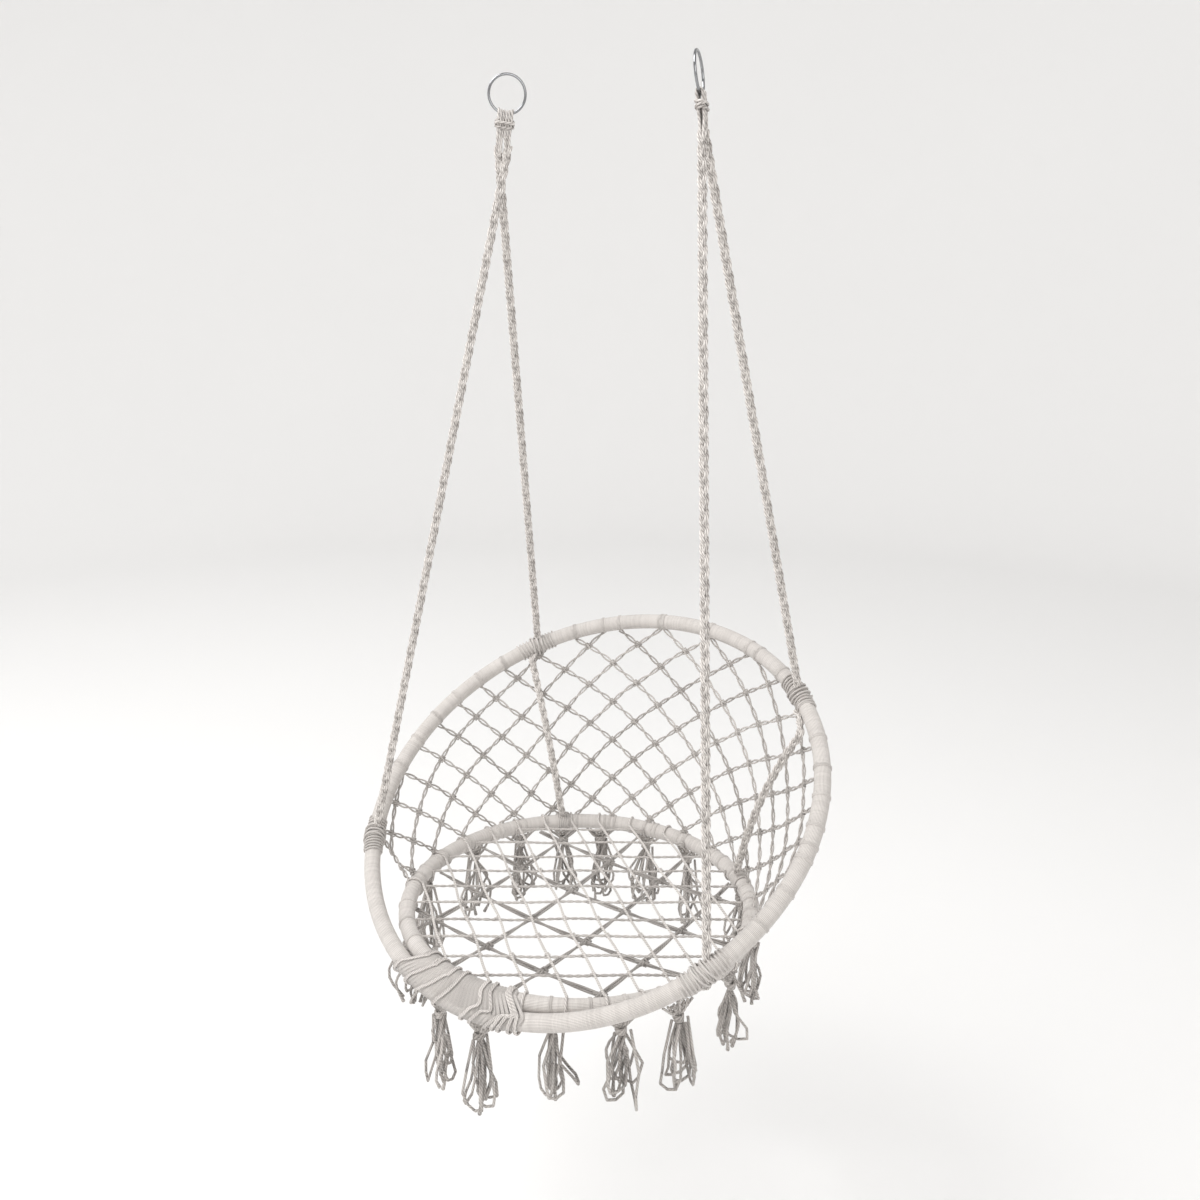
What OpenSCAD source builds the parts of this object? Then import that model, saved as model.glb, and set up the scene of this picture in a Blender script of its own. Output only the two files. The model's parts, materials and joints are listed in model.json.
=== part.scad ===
// Hanging cord chair: a tilted back hoop lashed to a flat seat hoop, knotted cord nets,
// free tassels, and four braided ropes that hang from two steel rings.
// Frame: origin midway between the two ring eyes on the line that the hooks carry,
// +Z up, the open front of the chair towards -Y, X along the hanging line.

/* [Hoops] */
// Outside diameter of the wrapped back hoop
back_hoop_od = 800; // [700:5:1000]
// Outside diameter of the wrapped seat hoop
seat_hoop_od = 600; // [500:5:750]
// Diameter of a hoop over its cord wrap
wrapped_d = 27; // [20:0.5:40]
// Outside diameter of the steel hoop tube
tube_d = 22; // [16:0.5:30]
// Wall of the steel hoop tube
tube_wall = 1.2; // [0.8:0.1:3]
// Lean of the back hoop from level
back_tilt = 33; // [20:1:50]
// Back hoop centre behind the seat hoop centre
back_centre_y = 20; // [0:1:60]
// Back hoop centre above the seat hoop centre
back_centre_z = 188; // [150:1:260]

/* [Hanging] */
// Hanging line down to the plane of the seat hoop
seat_drop = 1290; // [1000:10:1600]
// Seat hoop centre from the plane of the hanging line
seat_y = -31; // [-60:1:20]
// Distance between the two hooks that carry the rings
ring_spacing = 322; // [200:2:700]
// Outward lean of each ring and its hitch, in line with the pull of the ropes
ring_lean = 8; // [0:1:20]
// Outside diameter of a suspension ring
ring_od = 58; // [40:1:80]
// Wire diameter of a suspension ring
ring_wire_d = 4; // [3:0.5:8]
// Turn of the left ring about the vertical
left_ring_turn = 40; // [0:5:175]
// Turn of the right ring about the vertical
right_ring_turn = 110; // [0:5:175]
// Diameter of a braided rope
rope_d = 12; // [6:0.5:16]
// Hoop angle of both front ropes, from the middle of the back
front_rope_angle = 121; // [95:1:150]
// Hoop angle of the rear left rope, from the middle of the back
rear_left_angle = 47; // [20:1:80]
// Hoop angle of the rear right rope, from the middle of the back
rear_right_angle = 41; // [20:1:80]

/* [Nets] */
// Thickness of a net, two cords laid side by side and knotted
net_t = 5; // [3:0.5:8]
// Meshes of the back net along the back hoop
back_net_cells = 17; // [9:1:31]
// Hitches of the nets round the seat hoop
seat_hitches = 32; // [16:2:48]
// Sag of the lower seat net at its middle
under_net_sag = 18; // [0:1:60]

/* [Tassels] */
// Diameter of a tassel's knot
knot_d = 18; // [10:1:26]
// Length of a tassel below its hinge
tassel_len = 155; // [80:5:250]
// Diameter of a tassel at its lower end
tassel_end_d = 36; // [20:1:60]

/* [Hidden] */
$fn = 96;
hoop_fn = 180;
gap = 0.3;
wrap_r = wrapped_d / 2;
back_r = back_hoop_od / 2 - wrap_r;
seat_r = seat_hoop_od / 2 - wrap_r;
binding_r = wrap_r + 3;
net_edge_r = binding_r + 2.5;
ring_r = (ring_od - ring_wire_d) / 2;
ring_centre_z = -(ring_r - ring_wire_d / 2);
ring_foot_z = ring_centre_z - ring_r;
hitch_w = 28;
hitch_t = 14;
hitch_top_z = ring_foot_z + 8;
hitch_bottom_z = ring_foot_z - 34;
neck_z = hitch_bottom_z - 3;
neck_r = 7;
neck_len = 26;
rope_side = 8;
rope_steps = 14;
lower_rope_steps = 8;
lower_left = [-49.5, -43.5];
lower_right = [51, 41];
net_steps = 32;
seat_net_r = seat_r - net_edge_r;
seat_net_z = 5;
hitch_arc = 1.6;
dish_steps = 6;
loop_r = 2.5;
loop_len = 12;
lash_turns = 11;
lash_first = -17;
lash_last = 19;
lash_w = 9;
lash_r = wrap_r + 1.4;
lash_t = 3.5;

// Each tassel: angle round the seat hoop from the back, radius and height of its hinge.
tassels = [
    [7, 291, -20], [39, 291, -20], [65, 291, -20], [90, 291, -20],
    [113, 291, -20], [131, 287, -20], [151, 278, -20], [173, 294, -48],
    [189, 294, -48], [220, 287, -20], [255, 291, -20], [281, 291, -20],
    [300, 291, -20], [317, 291, -20], [331, 291, -20], [349, 291, -20]
];

cotton = [0.90, 0.87, 0.83];
shade = [0.80, 0.76, 0.71];
steel = [0.62, 0.63, 0.65];

function unit(v) = v / norm(v);
function mix(a, b, f) = a + (b - a) * f;
function seat_origin() = [0, seat_y, -seat_drop];
function seat_point(a, r = seat_r, z = 0) = seat_origin() + [r * sin(a), r * cos(a), z];
function back_point(a) = seat_origin() + [
    back_r * sin(a),
    back_centre_y + back_r * cos(a) * cos(back_tilt),
    back_centre_z + back_r * cos(a) * sin(back_tilt)
];
function ring_point(side) = [side * ring_spacing / 2, 0, 0];
function turn_of(side) = side < 0 ? left_ring_turn : right_ring_turn;
function along_ring(side) = [cos(turn_of(side)), sin(turn_of(side)), 0];
function neck_point(side) =
    ring_point(side) - neck_z * [side * sin(ring_lean), 0, -cos(ring_lean)];

// Distance along a slanting line at which its end of half width w clears a hoop's binding.
function clear_of(line, hoop, w) =
    let (slant = abs(unit(line) * unit(hoop)))
    (net_edge_r + w * slant) / sqrt(1 - slant * slant);

// Point on a sheet ruled between the hoops: down = 0 at the back hoop, 1 at the seat hoop.
function sheet_point(a, down) = mix(back_point(a), seat_point(a), down);
function sheet_down(a, dist) = dist / norm(seat_point(a) - back_point(a));
function back_run(a) = back_point(a + 1) - back_point(a - 1);
function seat_run(a) = seat_point(a + 1) - seat_point(a - 1);
function sheet_normal(a) = unit(cross(
    back_run(a) + seat_run(a),
    seat_point(a) - back_point(a)
));

// A tube along a route: one closed polyhedron with a ring of points at each station.
function tangent(route, i) = unit(
    route[min(i + 1, len(route) - 1)] - route[max(i - 1, 0)]
);
function ring_at(p, t, r, sides) =
    let (u = unit(cross(t, [0, 1, 0])), v = cross(t, u))
    [for (k = [0 : sides - 1]) p + r * (cos(360 * k / sides) * u + sin(360 * k / sides) * v)];
function straight(a, b, steps) = [for (i = [0 : steps]) mix(a, b, i / steps)];

module swept_tube(route, d, sides) {
    n = len(route);
    points = [for (i = [0 : n - 1]) each ring_at(route[i], tangent(route, i), d / 2, sides)];
    walls = [
        for (i = [0 : n - 2], k = [0 : sides - 1])
            let (m = (k + 1) % sides)
            [i * sides + k, i * sides + m, (i + 1) * sides + m, (i + 1) * sides + k]
    ];
    near = [for (k = [0 : sides - 1]) sides - 1 - k];
    far = [for (k = [0 : sides - 1]) (n - 1) * sides + k];
    polyhedron(points = points, faces = concat(walls, [near], [far]), convexity = 4);
}

module at_seat() {
    translate(seat_origin()) children();
}

module at_back_hoop() {
    at_seat()
        translate([0, back_centre_y, back_centre_z])
            rotate([back_tilt, 0, 0])
                children();
}

// A sleeve that follows a hoop from one angle to another, angles from the back.
module hoop_sleeve(r, inner, outer, from, to) {
    rotate([0, 0, 90 - to])
        rotate_extrude(angle = to - from, $fn = hoop_fn)
            translate([r, 0])
                difference() {
                    circle(r = outer, $fn = 48);
                    circle(r = inner, $fn = 48);
                }
}

module hoop_tube(r) {
    rotate_extrude($fn = hoop_fn)
        translate([r, 0])
            difference() {
                circle(d = tube_d, $fn = 48);
                circle(d = tube_d - 2 * tube_wall, $fn = 48);
            }
}

module hoop_wrap(r) {
    rotate_extrude($fn = hoop_fn)
        translate([r, 0])
            difference() {
                circle(r = wrap_r, $fn = 48);
                circle(d = tube_d + 2 * gap, $fn = 48);
            }
}

// Hangs from a hook: turned about the hook's line and leaning with the ropes.
module hung(side) {
    translate(ring_point(side))
        rotate([0, -side * ring_lean, 0])
            rotate([0, 0, turn_of(side)])
                children();
}

module wire_ring(d) {
    translate([0, 0, ring_centre_z])
        rotate([90, 0, 0])
            rotate_extrude()
                translate([ring_r, 0])
                    circle(d = d, $fn = 32);
}

module suspension_ring(side) {
    color(steel) hung(side) wire_ring(ring_wire_d);
}

// The ropes' own strands, hitched over the foot of the ring and bound below it.
module ring_hitch(side) {
    color(cotton)
        difference() {
            hung(side)
                translate([-hitch_w / 2, -hitch_t / 2, hitch_bottom_z])
                    cube([hitch_w, hitch_t, hitch_top_z - hitch_bottom_z]);
            hung(side) wire_ring(ring_wire_d + 2 * gap);
            translate(neck_point(side))
                rotate([0, 90, 0])
                    cylinder(r = neck_r + gap, h = 2 * hitch_w, center = true);
        }
}

// Where the rope pair is gathered and bends: a round bundle on the swing axis.
module rope_neck(side) {
    color(cotton)
        translate(neck_point(side))
            rotate([0, 90, 0])
                cylinder(r = neck_r, h = neck_len, center = true);
}

function rope_top(side, end) =
    neck_point(side) + end * 8 * along_ring(side) - [0, 0, neck_r + 2];
function rope_foot(top, a) =
    let (p = back_point(a), line = top - p)
    p + (clear_of(line, back_run(a), rope_d / 2) - 2) * unit(line);

module hanging_rope(side, a, end) {
    top = rope_top(side, end);
    color(cotton) swept_tube(straight(top, rope_foot(top, side * a), rope_steps), rope_d, rope_side);
}

module front_left_rope() {
    hanging_rope(-1, front_rope_angle, 1);
}

module front_right_rope() {
    hanging_rope(1, front_rope_angle, -1);
}

module rear_left_rope() {
    hanging_rope(-1, rear_left_angle, -1);
}

module rear_right_rope() {
    hanging_rope(1, rear_right_angle, 1);
}

// The rear ropes go on down inside the back net to the seat hoop, with some slack. Each has
// the hoop angles at which it leaves the back hoop and reaches the seat hoop.
function lower_rope_point(angles, f, slack) =
    let (
        a = mix(angles[0], angles[1], f),
        down = sheet_down(a, binding_r + 1),
        inset = net_t / 2 + rope_d / 2 + 6 + slack * sin(180 * f)
    )
    sheet_point(a, mix(down, 1 - down, f)) - inset * sheet_normal(a);
function lower_rope_route(angles, slack) =
    [for (i = [0 : lower_rope_steps]) lower_rope_point(angles, i / lower_rope_steps, slack)];

module rear_left_lower_rope() {
    color(cotton) swept_tube(lower_rope_route(lower_left, 6), rope_d, rope_side);
}

module rear_right_lower_rope() {
    color(cotton) swept_tube(lower_rope_route(lower_right, 12), rope_d, rope_side);
}

module back_hoop_tube() {
    color(steel) at_back_hoop() hoop_tube(back_r);
}

module back_hoop_wrap() {
    color(cotton) at_back_hoop() hoop_wrap(back_r);
}

module seat_hoop_tube() {
    color(steel) at_seat() hoop_tube(seat_r);
}

module seat_hoop_wrap() {
    color(cotton) at_seat() hoop_wrap(seat_r);
}

module whipping(a, half) {
    color(cotton)
        at_back_hoop()
            hoop_sleeve(back_r, wrap_r + gap, binding_r, a - half, a + half);
}

// Turns of cord that bind the two hoops together at the front.
function lash_angle(i) = 180 + mix(lash_first, lash_last, i / (lash_turns - 1));
module lash_turn(a) {
    p = back_point(a) - seat_origin();
    reach = norm([p.x, p.y]);
    heading = atan2(p.y, p.x);
    span = norm([reach - seat_r, p.z]);
    rotate([0, 0, heading])
        translate([seat_r, 0, 0])
            rotate([90, -atan2(p.z, reach - seat_r), 0])
                linear_extrude(height = lash_w, center = true)
                    difference() {
                        stadium(span, lash_r + lash_t);
                        stadium(span, lash_r);
                    }
}

module stadium(span, r) {
    union() {
        circle(r = r, $fn = 48);
        translate([span, 0]) circle(r = r, $fn = 48);
        translate([0, -r]) square([span, 2 * r]);
    }
}

module front_lashing() {
    color(cotton) at_seat() for (i = [0 : lash_turns - 1]) lash_turn(lash_angle(i));
}

module front_left_whipping() {
    whipping(-front_rope_angle, 5);
}

module front_right_whipping() {
    whipping(front_rope_angle, 5);
}

module rear_left_whipping() {
    whipping(-rear_left_angle, 4.5);
}

module rear_right_whipping() {
    whipping(rear_right_angle, 4.5);
}

// A short collar: one hitch of cord round the seat hoop.
module seat_collar(a, half) {
    at_seat() hoop_sleeve(seat_r, wrap_r + gap, binding_r, a - half, a + half);
}

module seat_left_binding() {
    color(cotton) seat_collar(lower_left[1], 2);
}

module seat_right_binding() {
    color(cotton) seat_collar(lower_right[1], 2);
}

// Angle from a place on a hoop to the nearest rope there.
function back_rope_gap(a) = min(
    abs(a + rear_left_angle),
    abs(a - rear_right_angle),
    abs(abs(a) - front_rope_angle)
);
function seat_rope_gap(a) = min(abs(a - lower_left[1]), abs(a - lower_right[1]));

// Two hitches for each mesh of the back net, where no whipping covers the hoop.
module back_net_hitches() {
    pitch = 2 * front_rope_angle / back_net_cells;
    color(cotton)
        at_back_hoop()
            for (i = [0 : back_net_cells - 1], side = [-1, 1]) {
                a = -front_rope_angle + pitch * (i + 0.5 + 0.25 * side);
                if (back_rope_gap(a) > 6)
                    hoop_sleeve(back_r, wrap_r + gap, binding_r, a - hitch_arc / 2, a + hitch_arc / 2);
            }
}

// Hitches of the nets round the seat hoop, left out under the front lashing.
module seat_hoop_hitches() {
    pitch = 360 / seat_hitches;
    color(cotton)
        for (i = [0 : seat_hitches - 1]) {
            a = pitch * (i + 0.5) - 180;
            if (seat_rope_gap(a) > 4 && abs(a) < 155)
                seat_collar(a, hitch_arc / 2);
        }
}

// Net from the back hoop down to the seat hoop, as one thin curved sheet.
module back_net() {
    stations = [for (i = [0 : net_steps]) mix(-front_rope_angle, front_rope_angle, i / net_steps)];
    points = [
        for (a = stations)
            let (
                line = seat_point(a) - back_point(a),
                upper = sheet_down(a, clear_of(line, back_run(a), 0)),
                lower = 1 - sheet_down(a, clear_of(line, seat_run(a), 0)),
                n = net_t / 2 * sheet_normal(a)
            )
            each [
                sheet_point(a, upper) + n,
                sheet_point(a, upper) - n,
                sheet_point(a, lower) - n,
                sheet_point(a, lower) + n
            ]
    ];
    walls = [
        for (i = [0 : net_steps - 1], k = [0 : 3])
            let (m = (k + 1) % 4)
            each [
                [4 * i + k, 4 * i + m, 4 * i + 4 + m],
                [4 * i + k, 4 * i + 4 + m, 4 * i + 4 + k]
            ]
    ];
    last = 4 * net_steps;
    ends = [[3, 2, 1, 0], [last, last + 1, last + 2, last + 3]];
    color(shade) polyhedron(points = points, faces = concat(walls, ends), convexity = 6);
}

module seat_net_top() {
    color(cotton) at_seat() translate([0, 0, seat_net_z - net_t / 2]) cylinder(r = seat_net_r, h = net_t);
}

// The lower seat net sags a little below the upper one.
module seat_net_under() {
    function sag(f) = -seat_net_z - net_t / 2 - under_net_sag * (1 - f * f);
    top = [for (i = [0 : dish_steps]) [seat_net_r * i / dish_steps, sag(i / dish_steps)]];
    bottom = [for (i = [dish_steps : -1 : 0]) [seat_net_r * i / dish_steps, sag(i / dish_steps) - net_t]];
    color(shade) at_seat() rotate_extrude($fn = hoop_fn) polygon(concat(top, bottom));
}

// A tassel hangs from a loop of its own cord: loop, round knot, and a skirt of loose ends.
module tassel(i) {
    a = tassels[i][0];
    knot_z = -loop_r - knot_d / 2 + 2;
    color(cotton)
        translate(seat_point(a, tassels[i][1], tassels[i][2]))
            rotate([0, 0, -a]) {
                rotate([0, 90, 0]) cylinder(r = loop_r, h = loop_len, center = true, $fn = 32);
                translate([0, 0, knot_z]) sphere(d = knot_d, $fn = 48);
                translate([0, 0, -tassel_len])
                    cylinder(d1 = tassel_end_d, d2 = knot_d * 0.7, h = tassel_len + knot_z, $fn = 48);
            }
}

module tassel_01() {
    tassel(0);
}

module tassel_02() {
    tassel(1);
}

module tassel_03() {
    tassel(2);
}

module tassel_04() {
    tassel(3);
}

module tassel_05() {
    tassel(4);
}

module tassel_06() {
    tassel(5);
}

module tassel_07() {
    tassel(6);
}

module tassel_08() {
    tassel(7);
}

module tassel_09() {
    tassel(8);
}

module tassel_10() {
    tassel(9);
}

module tassel_11() {
    tassel(10);
}

module tassel_12() {
    tassel(11);
}

module tassel_13() {
    tassel(12);
}

module tassel_14() {
    tassel(13);
}

module tassel_15() {
    tassel(14);
}

module tassel_16() {
    tassel(15);
}

module left_suspension_ring() {
    suspension_ring(-1);
}

module right_suspension_ring() {
    suspension_ring(1);
}

module left_ring_hitch() {
    ring_hitch(-1);
}

module right_ring_hitch() {
    ring_hitch(1);
}

module left_rope_neck() {
    rope_neck(-1);
}

module right_rope_neck() {
    rope_neck(1);
}

left_suspension_ring();
right_suspension_ring();
left_ring_hitch();
right_ring_hitch();
left_rope_neck();
right_rope_neck();
front_left_rope();
front_right_rope();
rear_left_rope();
rear_right_rope();
rear_left_lower_rope();
rear_right_lower_rope();
back_hoop_tube();
back_hoop_wrap();
seat_hoop_tube();
seat_hoop_wrap();
front_left_whipping();
front_right_whipping();
rear_left_whipping();
rear_right_whipping();
seat_left_binding();
seat_right_binding();
front_lashing();
back_net_hitches();
seat_hoop_hitches();
back_net();
seat_net_top();
seat_net_under();
tassel_01();
tassel_02();
tassel_03();
tassel_04();
tassel_05();
tassel_06();
tassel_07();
tassel_08();
tassel_09();
tassel_10();
tassel_11();
tassel_12();
tassel_13();
tassel_14();
tassel_15();
tassel_16();
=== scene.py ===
"""Hanging cord chair: the finished look of each piece around its fixed frame.

Two cord-wound steel hoops, a knotted back net, two seat nets, sixteen tassels and
four plaited ropes that rise to two steel rings. All sizes are in metres.
"""

import json
import math

import bpy
import numpy as np
from mathutils import Matrix, Vector


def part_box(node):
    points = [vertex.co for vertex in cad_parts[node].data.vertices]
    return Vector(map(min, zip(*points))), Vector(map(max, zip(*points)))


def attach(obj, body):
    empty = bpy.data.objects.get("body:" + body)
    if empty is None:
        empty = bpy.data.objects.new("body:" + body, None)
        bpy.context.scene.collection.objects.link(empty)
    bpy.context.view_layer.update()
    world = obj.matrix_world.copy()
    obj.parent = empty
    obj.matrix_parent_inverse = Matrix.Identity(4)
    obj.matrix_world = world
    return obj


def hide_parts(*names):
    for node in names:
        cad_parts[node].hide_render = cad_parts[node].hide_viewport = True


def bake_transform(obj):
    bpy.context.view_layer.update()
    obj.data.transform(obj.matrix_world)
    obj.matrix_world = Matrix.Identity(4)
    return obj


bl_info = {
    "name": "Hanging cord chair",
    "version": (1, 0, 0),
    "blender": (4, 5, 0),
    "location": "3D View > Sidebar > Cord chair",
    "description": "Builds the cords, nets, tassels, rings and studio of a hanging chair",
    "category": "Object",
}

MM = 0.001
FULL_TURN = 2 * math.pi
UP = np.array((0.0, 0.0, 1.0))

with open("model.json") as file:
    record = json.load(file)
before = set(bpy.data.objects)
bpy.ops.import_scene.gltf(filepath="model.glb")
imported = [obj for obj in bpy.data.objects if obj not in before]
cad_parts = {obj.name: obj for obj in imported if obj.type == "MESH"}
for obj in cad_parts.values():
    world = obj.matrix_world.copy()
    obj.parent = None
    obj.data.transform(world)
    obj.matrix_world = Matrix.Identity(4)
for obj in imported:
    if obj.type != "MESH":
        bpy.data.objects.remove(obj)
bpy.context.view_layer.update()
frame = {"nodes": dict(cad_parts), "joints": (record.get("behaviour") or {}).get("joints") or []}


# ---------------------------------------------------------------- layout of the chair


def wrap_radius():
    """Radius of the wound hoop, half the height of the level one."""
    low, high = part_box("seat_hoop_wrap")
    return (high.z - low.z) / 2


def unit(vectors):
    """Each vector at length one."""
    vectors = np.asarray(vectors, float)
    return vectors / np.linalg.norm(vectors, axis=-1, keepdims=True)


class Hoop:
    """A hoop's middle, radius and tilt about X. Angles run from the back towards +X."""

    def __init__(self, node):
        low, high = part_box(node)
        self.wrap = wrap_radius()
        self.centre = np.array((low + high) / 2)
        self.radius = (high.x - low.x) / 2 - self.wrap
        rise = (high.z - low.z) / 2 - self.wrap
        self.tilt = math.asin(min(1.0, max(0.0, rise / self.radius)))
        self.axis = np.array((0.0, -math.sin(self.tilt), math.cos(self.tilt)))

    def outward(self, angle):
        """Direction from the middle of the hoop to its tube."""
        angle = np.asarray(angle, float)
        side, back = np.sin(angle), np.cos(angle)
        return np.stack([side, back * math.cos(self.tilt), back * math.sin(self.tilt)], -1)

    def along(self, angle):
        """Direction of the tube."""
        return np.cross(self.outward(angle), self.axis)

    def point(self, angle):
        """Point on the tube's centreline."""
        return self.centre + self.radius * self.outward(angle)

    def skin(self, angle, turn, reach):
        """Point at a distance from the tube's centreline: turn 0 is outward, 90 degrees is up."""
        turn = np.asarray(turn, float)[..., None]
        around = np.cos(turn) * self.outward(angle) + np.sin(turn) * self.axis
        return self.point(angle) + reach * around


back_hoop = Hoop("back_hoop_wrap")
seat_hoop = Hoop("seat_hoop_wrap")


def ruling_length(angle):
    """Distance between the two hoops' centrelines at one angle."""
    return np.linalg.norm(back_hoop.point(angle) - seat_hoop.point(angle), axis=-1)


def sheet_point(angle, up):
    """Point of the back net, up metres above the seat hoop's centreline."""
    low, high = seat_hoop.point(angle), back_hoop.point(angle)
    share = (np.asarray(up, float) / ruling_length(angle))[..., None]
    return low + (high - low) * share


def sheet_outward(angle):
    """Direction straight out of the back net."""
    along = back_hoop.along(angle) + seat_hoop.along(angle)
    return unit(np.cross(along, back_hoop.point(angle) - seat_hoop.point(angle))) * -1


def run_length(points):
    """Distance along a route at each of its points."""
    steps = np.linalg.norm(np.diff(points, axis=0), axis=1)
    return np.concatenate([[0], np.cumsum(steps)])


def resampled(points, step):
    """The same route with even steps of about the given length."""
    points = np.asarray(points, float)
    lengths = run_length(points)
    count = max(2, round(lengths[-1] / step) + 1)
    wanted = np.linspace(0, lengths[-1], count)
    return np.stack([np.interp(wanted, lengths, points[:, i]) for i in range(3)], 1)


def smooth_step(values):
    """0 to 1 with soft ends."""
    values = np.clip(values, 0, 1)
    return values * values * (3 - 2 * values)


# ---------------------------------------------------------------- node graphs


class Value:
    """A socket that takes part in ordinary arithmetic."""

    def __init__(self, graph, socket):
        self.graph = graph
        self.socket = socket

    def maths(self, operation, *operands):
        inputs = dict(enumerate(operands))
        return self.graph.node("ShaderNodeMath", {"operation": operation}, inputs)

    def __add__(self, other):
        return self.maths("ADD", self, other)

    def __radd__(self, other):
        return self.maths("ADD", other, self)

    def __sub__(self, other):
        return self.maths("SUBTRACT", self, other)

    def __rsub__(self, other):
        return self.maths("SUBTRACT", other, self)

    def __mul__(self, other):
        return self.maths("MULTIPLY", self, other)

    def __rmul__(self, other):
        return self.maths("MULTIPLY", other, self)

    def __truediv__(self, other):
        return self.maths("DIVIDE", self, other)

    def __gt__(self, other):
        return self.maths("GREATER_THAN", self, other)

    def __pow__(self, other):
        return self.maths("POWER", self, other)

    def sine(self):
        return self.maths("SINE", self)

    def cosine(self):
        return self.maths("COSINE", self)

    def floor(self):
        return self.maths("FLOOR", self)

    def absolute(self):
        return self.maths("ABSOLUTE", self)


class Graph:
    """Adds nodes to a shader or geometry tree."""

    def __init__(self, tree):
        self.tree = tree

    def node(self, kind, settings=None, inputs=None, output=0):
        """Adds one node: its settings first, then values or links. Returns one output."""
        node = self.tree.nodes.new(kind)
        for name, value in (settings or {}).items():
            setattr(node, name, value)
        self.feed(node, inputs or {})
        return Value(self, node.outputs[output])

    def feed(self, node, inputs):
        """Links or sets the inputs of a node."""
        for key, value in inputs.items():
            if isinstance(value, Value):
                self.tree.links.new(value.socket, node.inputs[key])
            else:
                node.inputs[key].default_value = value

    def other(self, value, output):
        """Another output of the node that made a value."""
        return Value(self, value.socket.node.outputs[output])

    def vector(self, operation, *operands):
        inputs = dict(enumerate(operands))
        return self.node("ShaderNodeVectorMath", {"operation": operation}, inputs)

    def scaled(self, direction, factor):
        settings = {"operation": "SCALE"}
        return self.node("ShaderNodeVectorMath", settings, {"Vector": direction, "Scale": factor})

    def blend(self, factor, first, second):
        """Mix of two colours, whose sockets come after those for numbers and vectors."""
        inputs = {0: factor, 6: first, 7: second}
        return self.node("ShaderNodeMix", {"data_type": "RGBA"}, inputs, output=2)

    def noise(self, place, scale, detail):
        """Noise from 0 to 1 with its middle at one half."""
        inputs = {"Vector": place, "Scale": scale, "Detail": detail}
        return self.node("ShaderNodeTexNoise", inputs=inputs)

    def bump(self, height, strength, distance):
        inputs = {"Strength": strength, "Distance": distance, "Height": height}
        return self.node("ShaderNodeBump", inputs=inputs)


class GeometryGraph(Graph):
    """A geometry tree with named inputs that ends in Realize Instances and Set Material."""

    def __init__(self, name, inputs):
        super().__init__(bpy.data.node_groups.new(name, "GeometryNodeTree"))
        sockets = self.tree.interface
        sockets.new_socket("Geometry", in_out="OUTPUT", socket_type="NodeSocketGeometry")
        sockets.new_socket("Geometry", in_out="INPUT", socket_type="NodeSocketGeometry")
        for label, (kind, default) in inputs.items():
            socket = sockets.new_socket(label, in_out="INPUT", socket_type="NodeSocket" + kind)
            if default is not None:
                socket.default_value = default
        self.source = self.tree.nodes.new("NodeGroupInput")

    def given(self, label):
        return Value(self, self.source.outputs[label])

    def capture(self, geometry, value, kind="FLOAT", domain="POINT"):
        """Keeps a field's value on the geometry. Returns the geometry and the kept value."""
        node = self.tree.nodes.new("GeometryNodeCaptureAttribute")
        node.domain = domain
        node.capture_items.new(kind, "Value")
        self.tree.links.new(geometry.socket, node.inputs[0])
        self.tree.links.new(value.socket, node.inputs[1])
        return Value(self, node.outputs[0]), Value(self, node.outputs[1])

    def stored(self, geometry, name, value, kind="FLOAT", domain="POINT"):
        settings = {"data_type": kind, "domain": domain}
        inputs = {"Geometry": geometry, "Name": name, "Value": value}
        return self.node("GeometryNodeStoreNamedAttribute", settings, inputs)

    def attribute(self, name, kind="FLOAT"):
        return self.node("GeometryNodeInputNamedAttribute", {"data_type": kind}, {"Name": name})

    def random(self, low, high, key, seed):
        settings = {"data_type": "FLOAT"}
        inputs = {2: low, 3: high, "ID": key, "Seed": seed}
        return self.node("FunctionNodeRandomValue", settings, inputs, output=1)

    def swept(self, curve, diameter, sides, scale):
        """A round cord along a curve, with its length and its turn kept as a UV map."""
        place = self.node("GeometryNodeSplineParameter", output="Length")
        curve, length = self.capture(curve, place)
        profile = self.node(
            "GeometryNodeCurvePrimitiveCircle",
            inputs={"Resolution": sides, "Radius": diameter / 2},
        )
        turn = self.node("GeometryNodeSplineParameter", output="Factor")
        profile, turn = self.capture(profile, turn)
        mesh = self.node(
            "GeometryNodeCurveToMesh",
            inputs={"Curve": curve, "Profile Curve": profile, "Scale": scale, "Fill Caps": True},
        )
        middle = self.node("GeometryNodeFieldOnDomain", {"domain": "FACE"}, {0: turn})
        seam = (middle - turn) > 0.3
        uv = self.node("ShaderNodeCombineXYZ", inputs={0: length, 1: turn + seam})
        mesh = self.stored(mesh, "UVMap", uv, "FLOAT2", "CORNER")
        return self.node("GeometryNodeSetShadeSmooth", inputs={"Geometry": mesh})

    def finish(self, geometry):
        """Ends the tree."""
        real = self.node("GeometryNodeRealizeInstances", inputs={0: geometry})
        inputs = {"Geometry": real, "Material": self.given("Material")}
        made = self.node("GeometryNodeSetMaterial", inputs=inputs)
        sink = self.tree.nodes.new("NodeGroupOutput")
        self.tree.links.new(made.socket, sink.inputs[0])
        return self.tree


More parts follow.
